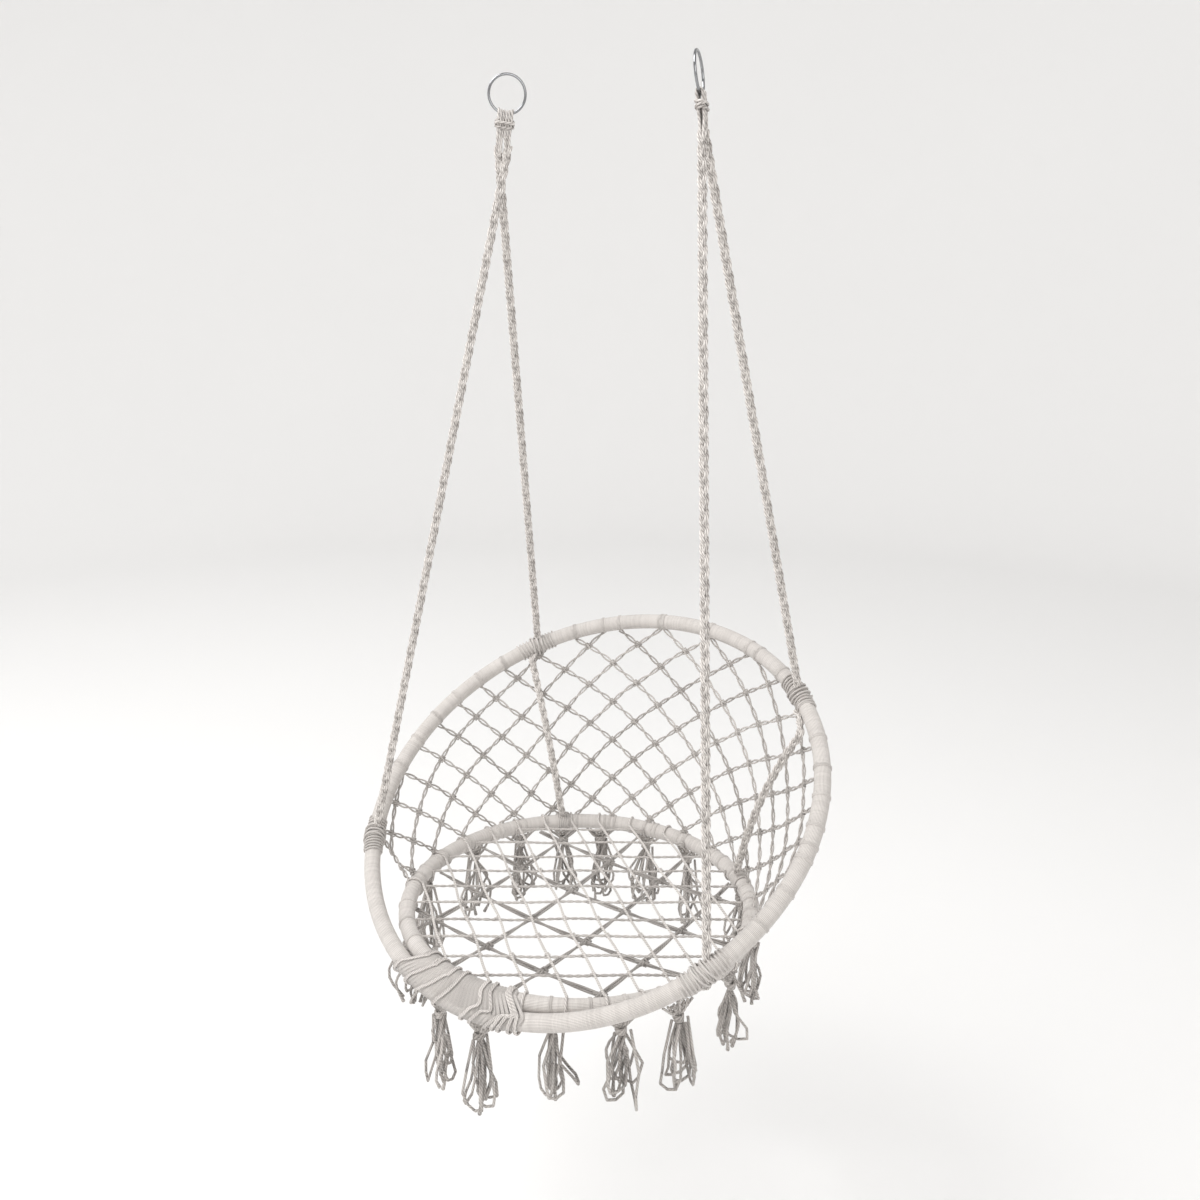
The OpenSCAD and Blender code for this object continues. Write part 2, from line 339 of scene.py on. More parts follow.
def laid_cord_tree():
    """Strands that twist or plait along rails, each strand of one or more plies."""
    graph = GeometryGraph(
        "Laid cord",
        {
            "Strands": ("Int", 2),
            "Plies": ("Int", 1),
            "Half Width": ("Float", 0.002),
            "Half Depth": ("Float", 0.001),
            "Crossings": ("Float", 1.0),
            "Ply Diameter": ("Float", 0.003),
            "Sides": ("Int", 6),
            "Seed": ("Int", 1),
            "Material": ("Material", None),
        },
    )
    strands, plies = graph.given("Strands"), graph.given("Plies")
    diameter = graph.given("Ply Diameter")
    rails = graph.node("GeometryNodeMeshToCurve", inputs={"Mesh": graph.given("Geometry")})
    copies = graph.node(
        "GeometryNodeDuplicateElements",
        {"domain": "SPLINE"},
        {"Geometry": rails, "Amount": strands * plies},
    )
    copies, index = graph.capture(copies, graph.other(copies, "Duplicate Index"), "INT", "CURVE")
    strand = (index / plies + 0.001).floor()
    ply = index - strand * plies
    phase = (graph.attribute("lay") + strand / strands) * FULL_TURN
    across = graph.attribute("across", "FLOAT_VECTOR")
    tangent = graph.node("GeometryNodeInputTangent")
    over = graph.vector("NORMALIZE", graph.vector("CROSS_PRODUCT", tangent, across))
    beside = (ply - (plies - 1) / 2) * diameter * 0.92
    width = graph.given("Half Width") * phase.cosine() + beside
    depth = graph.given("Half Depth") * (graph.given("Crossings") * phase).sine()
    offset = graph.vector("ADD", graph.scaled(across, width), graph.scaled(over, depth))
    curve = graph.node(
        "GeometryNodeSetPosition", inputs={"Geometry": copies, "Offset": offset}
    )
    key = graph.node("GeometryNodeInputIndex")
    tone = graph.random(0.0, 1.0, key, graph.given("Seed"))
    curve = graph.stored(curve, "tone", tone, domain="CURVE")
    cord = graph.swept(curve, diameter, graph.given("Sides"), 1.0)
    return graph.finish(cord)


def placed_knot_tree():
    """One small knot on each point, turned to lie in the net."""
    graph = GeometryGraph(
        "Placed knots",
        {
            "Knot Radius": ("Float", 0.004),
            "Ply Diameter": ("Float", 0.003),
            "Material": ("Material", None),
        },
    )
    size = graph.given("Knot Radius")
    ring = graph.node("GeometryNodeCurvePrimitiveCircle", inputs={"Resolution": 14, "Radius": size})
    turn = graph.node("GeometryNodeSplineParameter", output="Factor") * FULL_TURN
    reach = size * ((turn * 3).cosine() * 0.42 + 0.72)
    place = graph.node(
        "ShaderNodeCombineXYZ",
        inputs={
            0: reach * (turn * 2).cosine() * 1.25,
            1: reach * (turn * 2).sine(),
            2: size * (turn * 3).sine() * 0.5,
        },
    )
    path = graph.node("GeometryNodeSetPosition", inputs={"Geometry": ring, "Position": place})
    knot = graph.swept(path, graph.given("Ply Diameter"), 5, 1.0)
    knot = graph.stored(knot, "tone", graph.node("ShaderNodeValue") * 0 + 0.5)
    facing = graph.attribute("facing", "FLOAT_VECTOR")
    across = graph.attribute("across", "FLOAT_VECTOR")
    turned = graph.node(
        "FunctionNodeAxesToRotation",
        {"primary_axis": "Z", "secondary_axis": "X"},
        {"Primary Axis": facing, "Secondary Axis": across},
    )
    placed = graph.node(
        "GeometryNodeInstanceOnPoints",
        inputs={"Points": graph.given("Geometry"), "Instance": knot, "Rotation": turned},
    )
    return graph.finish(placed)


def wound_hoop_tree():
    """A hoop covered with fine cord wound side by side: ribs round the tube."""
    graph = GeometryGraph(
        "Wound hoop",
        {
            "Hoop Radius": ("Float", 0.3),
            "Wrap Radius": ("Float", 0.0135),
            "Turns": ("Int", 800),
            "Groove": ("Float", 0.0006),
            "Sides": ("Int", 16),
            "Seed": ("Int", 1),
            "Material": ("Material", None),
        },
    )
    turns = graph.given("Turns")
    wrap = graph.given("Wrap Radius")
    hoop = graph.node(
        "GeometryNodeCurvePrimitiveCircle",
        inputs={"Resolution": turns * 4, "Radius": graph.given("Hoop Radius")},
    )
    place = graph.node("GeometryNodeSplineParameter", output="Factor") * turns
    rib = (place * math.pi).sine().absolute() ** 0.5
    uneven = graph.random(0.0, 1.0, place.floor(), graph.given("Seed"))
    depth = graph.given("Groove") * (1 - rib * (0.75 + uneven * 0.25))
    scale = (wrap - depth) / wrap
    hoop, scale = graph.capture(hoop, scale)
    hoop = graph.stored(hoop, "tone", uneven)
    wound = graph.swept(hoop, wrap * 2, graph.given("Sides"), scale)
    return graph.finish(wound)


def ring_tree():
    """A closed ring of round wire, standing in the XZ plane."""
    graph = GeometryGraph(
        "Wire ring",
        {
            "Ring Radius": ("Float", 0.027),
            "Wire Diameter": ("Float", 0.004),
            "Material": ("Material", None),
        },
    )
    ring = graph.node(
        "GeometryNodeCurvePrimitiveCircle",
        inputs={"Resolution": 144, "Radius": graph.given("Ring Radius")},
    )
    wire = graph.swept(ring, graph.given("Wire Diameter"), 24, 1.0)
    turned = graph.node(
        "GeometryNodeTransform",
        inputs={"Geometry": wire, "Rotation": (math.pi / 2, 0.0, 0.0)},
    )
    return graph.finish(turned)


def tassel_tree():
    """Loose cords below a knot: some hang free, some are folded back into loops."""
    graph = GeometryGraph(
        "Tassel",
        {
            "Cords": ("Int", 10),
            "Drop": ("Float", 0.13),
            "Spread": ("Float", 0.016),
            "Kink": ("Float", 0.008),
            "Folded Share": ("Float", 0.35),
            "Ply Diameter": ("Float", 0.0038),
            "Sides": ("Int", 6),
            "Seed": ("Int", 1),
            "Material": ("Material", None),
        },
    )
    seed, spread, kink = graph.given("Seed"), graph.given("Spread"), graph.given("Kink")
    rails = graph.node("GeometryNodeMeshToCurve", inputs={"Mesh": graph.given("Geometry")})
    copies = graph.node(
        "GeometryNodeDuplicateElements",
        {"domain": "SPLINE"},
        {"Geometry": rails, "Amount": graph.given("Cords")},
    )
    number = graph.other(copies, "Duplicate Index")
    copies, number = graph.capture(copies, number, "INT", "CURVE")
    along = graph.node("GeometryNodeSplineParameter", output="Factor")
    folded = graph.given("Folded Share") > graph.random(0.0, 1.0, number, seed)
    drop = graph.given("Drop") * graph.random(0.78, 1.0, number, seed + 11)
    there_and_back = 1 - (along * 2 - 1).absolute() ** 2.4
    down = drop * (along + folded * (there_and_back * 0.93 - along))
    heading = graph.random(0.0, FULL_TURN, number, seed + 23)
    bulge = (along * math.pi * 0.82).sine()
    sway = graph.random(0.2, 1.25, number, seed + 31)
    turned = along * 2 - 1
    opening = turned * 1.3 / (turned.absolute() + 0.3)
    side = folded * opening * (along * math.pi).sine() ** 0.6
    reach = spread * sway * bulge
    wobble = graph.node(
        "ShaderNodeTexNoise",
        {"noise_dimensions": "4D", "normalize": False},
        {
            "Vector": graph.node("ShaderNodeCombineXYZ", inputs={0: down * 14}),
            "W": number * 7.3 + seed * 1.7,
            "Scale": 1.0,
            "Detail": 0.0,
        },
        output="Color",
    )
    wobble = graph.scaled(wobble, kink * bulge * 2.2)
    place = graph.node(
        "ShaderNodeCombineXYZ",
        inputs={
            0: reach * heading.cosine() + spread * side * heading.sine(),
            1: reach * heading.sine() - spread * side * heading.cosine(),
            2: 0 - down,
        },
    )
    wobble = graph.vector("MULTIPLY", wobble, (1.0, 1.0, 0.35))
    curve = graph.node(
        "GeometryNodeSetPosition",
        inputs={
            "Geometry": copies,
            "Offset": graph.vector("ADD", place, wobble),
        },
    )
    curve = graph.stored(
        curve, "tone", graph.random(0.0, 1.0, number, seed + 43), domain="CURVE"
    )
    frayed = (along - 0.9).maths("MAXIMUM", along - 0.9, 0.0) * 4.5
    thick = 1 + (1 - folded) * frayed
    cord = graph.swept(curve, graph.given("Ply Diameter"), graph.given("Sides"), thick)
    return graph.finish(cord)


def input_ids(tree):
    """Identifier of each named input of a tree."""
    items = [s for s in tree.interface.items_tree if s.item_type == "SOCKET"]
    return {s.name: s.identifier for s in items if s.in_out == "INPUT"}


def grown(name, source, tree, values):
    """Runs a tree on a mesh and returns the result as a plain mesh object."""
    seed = bpy.data.objects.new(name + "_source", source)
    bpy.context.scene.collection.objects.link(seed)
    modifier = seed.modifiers.new("Grow", "NODES")
    modifier.node_group = tree
    places = input_ids(tree)
    for label, value in values.items():
        modifier[places[label]] = value
    graph = bpy.context.evaluated_depsgraph_get()
    mesh = bpy.data.meshes.new_from_object(
        seed.evaluated_get(graph), preserve_all_data_layers=True, depsgraph=graph
    )
    bpy.data.objects.remove(seed)
    if not mesh.polygons:
        raise RuntimeError(f"{name} came out empty")
    mesh.name = name
    piece = bpy.data.objects.new(name, mesh)
    bpy.context.scene.collection.objects.link(piece)
    return piece


def store_vectors(mesh, label, vectors):
    """Keeps one vector for each point of a mesh."""
    flat = np.array(vectors, np.float32).ravel()
    mesh.attributes.new(label, "FLOAT_VECTOR", "POINT").data.foreach_set("vector", flat)


class Rails:
    """Centrelines of cords, kept as one edge mesh for the cord tree."""

    def __init__(self):
        self.points = []
        self.edges = []
        self.lay = []
        self.across = []

    def add(self, points, across, lay=0.0):
        """Adds one cord: its route, its width direction and its turns of lay."""
        points = np.asarray(points, float)
        count = len(points)
        first = len(self.points)
        self.points.extend(points.tolist())
        self.edges.extend((first + i, first + i + 1) for i in range(count - 1))
        self.across.extend(np.broadcast_to(across, (count, 3)).tolist())
        self.lay.extend(np.broadcast_to(lay, count).tolist())

    def mesh(self, name):
        mesh = bpy.data.meshes.new(name)
        mesh.from_pydata(self.points, self.edges, [])
        mesh.attributes.new("lay", "FLOAT", "POINT").data.foreach_set("value", self.lay)
        store_vectors(mesh, "across", self.across)
        return mesh


def knot_points(places, across, facing):
    """Loose points that carry each knot's direction."""
    mesh = bpy.data.meshes.new("knot_points")
    mesh.from_pydata(np.asarray(places).tolist(), [], [])
    store_vectors(mesh, "across", across)
    store_vectors(mesh, "facing", facing)
    return mesh


# ---------------------------------------------------------------- materials


class MaterialGraph(Graph):
    """A material's tree, which ends in its one Principled shader."""

    def __init__(self, name):
        self.material = bpy.data.materials.new(name)
        self.material.use_nodes = True
        super().__init__(self.material.node_tree)
        self.place = self.node("ShaderNodeTexCoord", output="Object")

    def mottled(self, factor, colour, dim):
        """A colour that falls to a dimmer tone of itself."""
        return self.blend(factor, (*colour, 1.0), (*[dim * part for part in colour], 1.0))

    def finish(self, looks):
        """Links or sets the shader's inputs and returns the material."""
        self.feed(self.tree.nodes["Principled BSDF"], looks)
        return self.material


def cotton_material(name, light, dark, lay_pitch, plies, twist_depth, fuzz, uneven):
    """Twisted cotton: plies that wind round the cord with painted shade in their grooves, loose
    fibres and uneven colour.
    """
    graph = MaterialGraph(name)
    uv = graph.node("ShaderNodeUVMap", {"uv_map": "UVMap"})
    length = graph.node("ShaderNodeSeparateXYZ", inputs={0: uv})
    turn = graph.other(length, 1)
    tone = graph.node("ShaderNodeAttribute", {"attribute_name": "tone"}, output="Fac")
    wind = (length / lay_pitch + turn * plies) * FULL_TURN
    ply = (wind.sine() * 0.5 + 0.5) ** 0.6
    fibre = graph.noise(graph.place, 1500.0, 2.0)
    cloud = graph.noise(graph.place, 38.0, 3.0)
    patches = (cloud - 0.5) * 0.9 + (tone - 0.5)
    # Darker in the grooves between plies: painted shade. The random patches and fibres are the
    # cotton's own uneven colour.
    painted_groove_shade_and_tone = (1 - ply) * 0.55 + patches * uneven + (fibre - 0.5) * 0.35 + 0.1
    painted_groove_shade_and_tone = graph.node("ShaderNodeClamp", inputs={"Value": painted_groove_shade_and_tone})
    return graph.finish(
        {
            "Base Color": graph.blend(painted_groove_shade_and_tone, (*light, 1.0), (*dark, 1.0)),
            "Normal": graph.bump(ply * twist_depth + fibre * fuzz, 0.9, 1.0),
            "Roughness": 0.92,
            "Sheen Weight": 0.25,
            "Sheen Roughness": 0.55,
            "Specular IOR Level": 0.2,
        }
    )


def chrome_material(name, colour):
    """Plated wire, darkened as painted dark reflection, with faint drawing lines and a little
    handling haze.
    """
    graph = MaterialGraph(name)
    haze = graph.noise(graph.place, 160.0, 4.0)
    uv = graph.node("ShaderNodeUVMap", {"uv_map": "UVMap"})
    drawn = graph.node("ShaderNodeMapping", inputs={"Vector": uv, "Scale": (20.0, 90.0, 1.0)})
    lines = graph.noise(drawn, 1.0, 2.0)
    # The given colour is plating darkened as painted dark reflection; its mottling is handling
    # haze.
    return graph.finish(
        {
            "Base Color": graph.mottled(haze, colour, 0.82),
            "Roughness": haze * 0.12 + lines * 0.08 + 0.02,
            "Metallic": 1.0,
        }
    )


def painted_steel_material(name, colour):
    """Grey primer on the hoops' tubes, with a light orange-peel surface."""
    graph = MaterialGraph(name)
    cloud = graph.noise(graph.place, 30.0, 3.0)
    peel = graph.noise(graph.place, 700.0, 1.0)
    return graph.finish(
        {
            "Base Color": graph.mottled(cloud, colour, 0.8),
            "Roughness": 0.4 + cloud * 0.2,
            "Normal": graph.bump(peel, 0.3, 0.0002),
        }
    )


def studio_material(name, colour):
    """Matt painted floor with very faint mottling."""
    graph = MaterialGraph(name)
    cloud = graph.noise(graph.place, 0.7, 2.0)
    return graph.finish({"Base Color": graph.mottled(cloud, colour, 0.985), "Roughness": 0.9})


def material_for(kind):
    """The chair's materials, made once each."""
    if kind in bpy.data.materials:
        return bpy.data.materials[kind]
    looks = bpy.context.scene.cord_chair.colours
    light, wound, dark = tuple(looks.cord), tuple(looks.wound_cord), tuple(looks.cord_shade)
    # The lower seat net's colour is the net cord's colour darkened: painted shade under the seat.
    painted_shade_net_colour = tuple(0.72 * value for value in light)
    # Colour, length of lay, plies, depth of the twist, fuzz and unevenness.
    cottons = {
        "Rope cotton": (wound, 8 * MM, 2, 0.7 * MM, 0.2 * MM, 0.5),
        "Net cotton": (light, 6 * MM, 3, 0.4 * MM, 0.2 * MM, 0.4),
        "Loop cotton": (wound, 6 * MM, 3, 0.4 * MM, 0.2 * MM, 0.2),
        "Lower net cotton": (painted_shade_net_colour, 6 * MM, 3, 0.4 * MM, 0.2 * MM, 0.4),
        "Wound cotton": (wound, 50 * MM, 40, 0.15 * MM, 0.25 * MM, 0.1),
        "Binding cotton": (wound, 20 * MM, 8, 0.3 * MM, 0.2 * MM, 0.15),
        "Tassel cotton": (light, 6 * MM, 3, 0.5 * MM, 0.3 * MM, 0.4),
    }
    if kind in cottons:
        colour, *weave = cottons[kind]
        return cotton_material(kind, colour, dark, *weave)
    makers = {
        "Plated wire": (chrome_material, tuple(looks.ring)),
        "Primed tube": (painted_steel_material, (0.5, 0.5, 0.5)),
        "Studio floor": (studio_material, tuple(looks.floor)),
    }
    make, colour = makers[kind]
    return make(kind, colour)


def tree_for(kind):
    """The chair's node trees, made once each."""
    if kind in bpy.data.node_groups:
        return bpy.data.node_groups[kind]
    makers = {
        "Laid cord": laid_cord_tree,
        "Placed knots": placed_knot_tree,
        "Wound hoop": wound_hoop_tree,
        "Wire ring": ring_tree,
        "Tassel": tassel_tree,
    }
    return makers[kind]()


def cord_piece(
    name, rails, material, diameter, sides=6, seed=1,
    strands=1, plies=1, half_width=0.0, half_depth=0.0, crossings=1.0,
):
    """A piece made of laid cords."""
    values = {
        "Strands": strands,
        "Plies": plies,
        "Half Width": half_width,
        "Half Depth": half_depth,
        "Crossings": crossings,
        "Ply Diameter": diameter,
        "Sides": sides,
        "Seed": seed,
        "Material": material_for(material),
    }
    return grown(name, rails.mesh(name + "_rails"), tree_for("Laid cord"), values)


# ---------------------------------------------------------------- sizes a user may change


def length_property(name, description, default):
    """A length that never falls to nothing."""
    return bpy.props.FloatProperty(
        name=name, description=description, default=default, min=0.1 * MM, unit="LENGTH"
    )


def angle_property(name, description, degrees):
    """An angle, given in degrees and kept in radians."""
    return bpy.props.FloatProperty(
        name=name, description=description, default=math.radians(degrees), subtype="ANGLE"
    )


def colour_property(name, description, default):
    """A colour without alpha."""
    return bpy.props.FloatVectorProperty(
        name=name, description=description, default=default,
        size=3, min=0.0, max=1.0, subtype="COLOR",
    )


class HoopSizes(bpy.types.PropertyGroup):
    wound_pitch: length_property(
        "Wound cord", "Width of one turn of the hoops' fine cord", 2.8 * MM
    )
    groove: length_property("Groove", "Depth between two turns of the fine cord", 0.55 * MM)
    binding_cord: length_property(
        "Binding cord", "Diameter of the cord of whippings and lashing", 3.4 * MM
    )
    lashing_start: angle_property("Lashing start", "Hoop angle where the front lashing starts", 163)
    lashing_end: angle_property("Lashing end", "Hoop angle where the front lashing ends", 199)
    lashing_slant: angle_property(
        "Lashing slant", "How far a turn of the lashing leans along the hoop", 1.9
    )


class RopeSizes(bpy.types.PropertyGroup):
    diameter: length_property("Rope", "Diameter of a plaited rope", 12 * MM)
    ply: length_property("Rope cord", "Diameter of one of the rope's six cords", 3.3 * MM)
    plait_pitch: length_property(
        "Plait pitch", "Length over which a strand crosses the rope and returns", 58 * MM
    )
    plait_turn: angle_property(
        "Plait turn", "Direction of the plait's flat face about the vertical", 35
    )


class NetSizes(bpy.types.PropertyGroup):
    cord: length_property("Net cord", "Diameter of one strand of the back net", 3.2 * MM)
    column: angle_property(
        "Half mesh angle", "Hoop angle from one column of knots to the next", 7.5
    )
    row: length_property("Half mesh height", "Distance from one row of knots to the next", 37 * MM)
    first_row: length_property(
        "First row", "Height of the lowest knots above the seat hoop", 20 * MM
    )
    dip: length_property("Row dip", "How far the rows hang lower beside the rear ropes", 34 * MM)
    seat_cord: length_property("Seat cord", "Diameter of a cord of the seat nets", 4.0 * MM)
    seat_pitch: length_property(
        "Seat mesh", "Distance between two cords of the upper seat net", 51 * MM
    )
    seat_slant: angle_property(
        "Seat slant", "Angle of the upper seat net's cords from the chair's width", 36.7
    )
    under_pitch: length_property(
        "Lower seat mesh", "Distance between two cords of the lower seat net", 112 * MM
    )
    under_sag: length_property("Lower net sag", "Drop of the lower seat net at its middle", 18 * MM)


class TasselSizes(bpy.types.PropertyGroup):
    cords: bpy.props.IntProperty(
        name="Cords", description="Loose cords in each tassel", default=9, min=4,
    )
    drop: length_property("Drop", "Usual length of a tassel below its knot", 138 * MM)
    ply: length_property("Tassel cord", "Diameter of a loose cord", 4.4 * MM)
    spread: length_property("Spread", "How far the loose cords stand apart", 24 * MM)
    kink: length_property("Kink", "How far a loose cord bends to and fro", 15 * MM)
    folded: bpy.props.FloatProperty(
        name="Folded share", description="Share of the cords that are folded back as loops",
        default=0.55, min=0.0, max=1.0,
    )


class Colours(bpy.types.PropertyGroup):
    cord: colour_property("Cord", "Colour of ropes, nets and tassels", (0.62, 0.585, 0.555))
    wound_cord: colour_property(
        "Wound cord", "Colour of the cord on the hoops and bindings", (0.78, 0.74, 0.705)
    )
    # Dark colour painted into the cords' grooves as shade, and also used for their darker random
    # patches.
    cord_shade: colour_property(
        "Cord shade", "Colour in the grooves of the cords", (0.15, 0.13, 0.118)
    )
    # The rings' colour is darker than bright plating: painted dark reflection.
    ring: colour_property("Rings", "Colour of the plated rings", (0.34, 0.345, 0.355))
    floor: colour_property("Floor", "Colour of the studio floor", (0.9, 0.895, 0.89))


class StageSizes(bpy.types.PropertyGroup):
    camera_place: bpy.props.FloatVectorProperty(
        name="Camera", description="Place of the camera",
        default=(0.990, -1.355, -0.289), size=3, subtype="TRANSLATION",
    )
    camera_turn: angle_property("Camera turn", "Turn of the camera about the vertical", 35.776)
    camera_dip: angle_property("Camera dip", "Angle by which the camera looks down", 16.021)
    camera_roll: angle_property(
        "Camera roll", "Roll of the camera about its own line of sight", 0.589
    )
    lens: bpy.props.FloatProperty(
        name="Lens", description="Focal length in millimetres on a 36 mm wide sensor",
        default=33.25, min=10.0,
    )
    floor_height: bpy.props.FloatProperty(
        name="Floor height", description="Height of the floor, the hooks being at zero",
        default=-1.95, unit="LENGTH",
    )
    key_power: bpy.props.FloatProperty(
        name="Key light", description="Power of the large soft light overhead", default=205.0,
    )
    sky: bpy.props.FloatProperty(
        name="Room light", description="Strength of the even light from all round", default=0.66,
    )


class ChairSettings(bpy.types.PropertyGroup):
    hoops: bpy.props.PointerProperty(type=HoopSizes)
    ropes: bpy.props.PointerProperty(type=RopeSizes)
    nets: bpy.props.PointerProperty(type=NetSizes)
    tassels: bpy.props.PointerProperty(type=TasselSizes)
    colours: bpy.props.PointerProperty(type=Colours)
    stage: bpy.props.PointerProperty(type=StageSizes)


# ---------------------------------------------------------------- rings, hitches and ropes

RING_RADIUS = 27 * MM
WIRE = 4 * MM
RING_CENTRE = -25 * MM
RING_LEAN = math.radians(8)
RING_TURN = {-1: math.radians(40), 1: math.radians(110)}
HOOK_HALF_GAP = 161 * MM
NECK_DROP = 89 * MM
HITCH_FOOT = -85 * MM
SIDE_NAMES = {-1: "left", 1: "right"}
BINDING_RADIUS = 16.5 * MM

# Hoop angle of each rope from the middle of the back, and its side of the ring.
ROPES = {
    "front_left_rope": (-1, math.radians(-121), 1),
    "front_right_rope": (1, math.radians(121), -1),
    "rear_left_rope": (-1, math.radians(-47), -1),
    "rear_right_rope": (1, math.radians(41), 1),
}
# Hoop angles at which each lower rope comes out from under its whipping, leaves the back
# hoop and reaches the seat hoop, and its slack at its middle.
LOWER_ROPES = {
    "rear_left_lower_rope": (math.radians(-48.5), math.radians(-49.5), math.radians(-43.5), 6 * MM),
    "rear_right_lower_rope": (math.radians(44.5), math.radians(51), math.radians(41), 12 * MM),
}
# Hoop angles between which each rope is tied to the back hoop.
WHIPPINGS = {
    "front_left_whipping": (-126.5, -116.5, 12),
    "front_right_whipping": (116, 127.5, 13),
    "rear_left_whipping": (-52.5, -42, 11),
    "rear_right_whipping": (35.5, 46, 11),
}


def hung_matrix(side):
    """From upright ring space to the ring's place: turned, leaning and on its hook."""
    place = Matrix.Translation((side * HOOK_HALF_GAP, 0, 0))
    lean = Matrix.Rotation(-side * RING_LEAN, 4, "Y")
    return place @ lean @ Matrix.Rotation(RING_TURN[side], 4, "Z")


def neck_point(side):
    reach = HOOK_HALF_GAP + NECK_DROP * math.sin(RING_LEAN)
    return np.array((side * reach, 0.0, -NECK_DROP * math.cos(RING_LEAN)))


def along_ring(side):
    return np.array((math.cos(RING_TURN[side]), math.sin(RING_TURN[side]), 0.0))


def rope_top(side, end):
    return neck_point(side) + end * 8 * MM * along_ring(side) - UP * 7.1 * MM


def rope_route(side, angle, end):
    """Straight from the neck to the back hoop's binding."""
    top, hoop = rope_top(side, end), back_hoop.point(angle)
    foot = hoop + BINDING_RADIUS * unit(top - hoop)
    return resampled([top, foot], 2 * MM)


def lower_rope_route(start, first, last, slack):
    """Along the inside of the back hoop, then down the back net to the seat hoop."""
    share = np.linspace(0, 1, 60)
    angles = first + (last - first) * share
    edge = BINDING_RADIUS + 1 * MM
    up = (ruling_length(angles) - edge) + (2 * edge - ruling_length(angles)) * share
    inset = 14.5 * MM + slack * np.sin(math.pi * share)
    down = sheet_point(angles, up) - inset[:, None] * sheet_outward(angles)
    inward = unit(down[0] - back_hoop.point(first))
    leads = (start, 0.6 * start + 0.4 * first)
    bound = [back_hoop.point(angle) + BINDING_RADIUS * inward for angle in leads]
    return resampled([*bound, *down[1:]], 2 * MM)


def plaited(name, route, body="chair"):
    """A three-strand plait of doubled cords."""
    sizes = bpy.context.scene.cord_chair.ropes
    length = run_length(route)
    facing = np.array((math.cos(sizes.plait_turn), math.sin(sizes.plait_turn), 0.0))
    line = unit(route[-1] - route[0])
    across = unit(facing - line * np.dot(facing, line))
    rails = Rails()
    rails.add(route, across, lay=length / sizes.plait_pitch)
    piece = cord_piece(
        name + "_plait", rails, "Rope cotton", sizes.ply, sides=8, strands=3, plies=2,
        half_width=sizes.diameter * 0.32, half_depth=sizes.diameter * 0.2, crossings=2.0,
    )
    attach(piece, body)
    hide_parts(name)
    return piece


def build_ropes():
    """Four hanging ropes and the two lower ropes inside the back net."""
    routes = {name: rope_route(*where) for name, where in ROPES.items()}
    routes.update({name: lower_rope_route(*where) for name, where in LOWER_ROPES.items()})
    for name, route in routes.items():
        piece = plaited(name, route)


def transformed(points, matrix):
    points = np.asarray(points, float)
    turn, place = np.array(matrix.to_3x3()), np.array(matrix.translation)
    return points @ turn.T + place


def build_ring(side):
    """A plated wire ring."""
    name = SIDE_NAMES[side]
    values = {"Ring Radius": RING_RADIUS, "Wire Diameter": WIRE}
    values["Material"] = material_for("Plated wire")
    piece = grown(name + "_ring", Rails().mesh("empty"), tree_for("Wire ring"), values)
    piece.data.transform(hung_matrix(side) @ Matrix.Translation((0, 0, RING_CENTRE)))
    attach(piece, "hangers")
    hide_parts(name + "_suspension_ring")


# Height of three levels of a hitch, how far its legs close up there, and their depth.
LEG_LEVELS = {
    "waist": (-72 * MM, 0.96, 3.6 * MM),
    "low": (HITCH_FOOT + 6 * MM, 0.9, 3.5 * MM),
    "foot": (HITCH_FOOT, 0.86, 3.4 * MM),
}
# Height, half width and rise of each turn across a hitch's legs, in millimetres.
HITCH_TURNS = ((-62, 13.4, 2.0), (-66, 13.6, -2.0), (-70, 13.2, 1.2))


def leg_places():
    """Six doubled legs of a hitch, side by side along the foot of the ring."""
    return (np.arange(6) - 2.5) * 4.1 * MM


def leg_point(x, face, level):
    """Place on one leg below the ring: the legs close up a little further down."""
    height, narrow, depth = LEG_LEVELS[level]
    return (x * narrow, face * depth, height)


def squared(values):
    """Sines or cosines with flattened peaks, for a loop with a squarish outline."""
    return np.sign(values) * np.abs(values) ** 0.6


def build_ring_hitch(side):
    """Bights of the ropes' own cords over the ring's foot, bound across below it."""
    name = SIDE_NAMES[side]
    ply = bpy.context.scene.cord_chair.ropes.ply * 1.1
    reach = WIRE / 2 + ply / 2 + 0.3 * MM
    rails = Rails()
    for x in leg_places():
        foot = RING_CENTRE - math.sqrt(RING_RADIUS**2 - x**2)
        turn = np.linspace(0, math.pi, 13)
        over = np.stack([np.full(13, x), reach * np.cos(turn), foot + reach * np.sin(turn)], 1)
        front = [leg_point(x, 1, "foot"), leg_point(x, 1, "waist")]
        rear = [leg_point(x, -1, "waist"), leg_point(x, -1, "foot")]
        rails.add(transformed(resampled([*front, *over, *rear], 2 * MM), hung_matrix(side)), UP)
    for height, half, rise in HITCH_TURNS:
        turn = np.linspace(0.1, FULL_TURN - 0.02, 40)
        width, depth = half * MM * squared(np.cos(turn)), 7.2 * MM * squared(np.sin(turn))
        loop = np.stack([width, depth, (height + rise * np.sin(turn)) * MM], 1)
        rails.add(transformed(resampled(loop, 2 * MM), hung_matrix(side)), UP)
    piece = cord_piece(name + "_hitch", rails, "Rope cotton", ply, sides=8, seed=3 + side)
    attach(piece, "hangers")
    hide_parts(name + "_ring_hitch")


def eased(first, second, third, last):
    """A smooth route between two points, drawn towards the two between them."""
    share = np.linspace(0, 1, 24)[:, None]
    weights = (
        (1 - share) ** 3,
        3 * share * (1 - share) ** 2,
        3 * share**2 * (1 - share),
        share**3,
    )
    return sum(weight * point for weight, point in zip(weights, (first, second, third, last)))


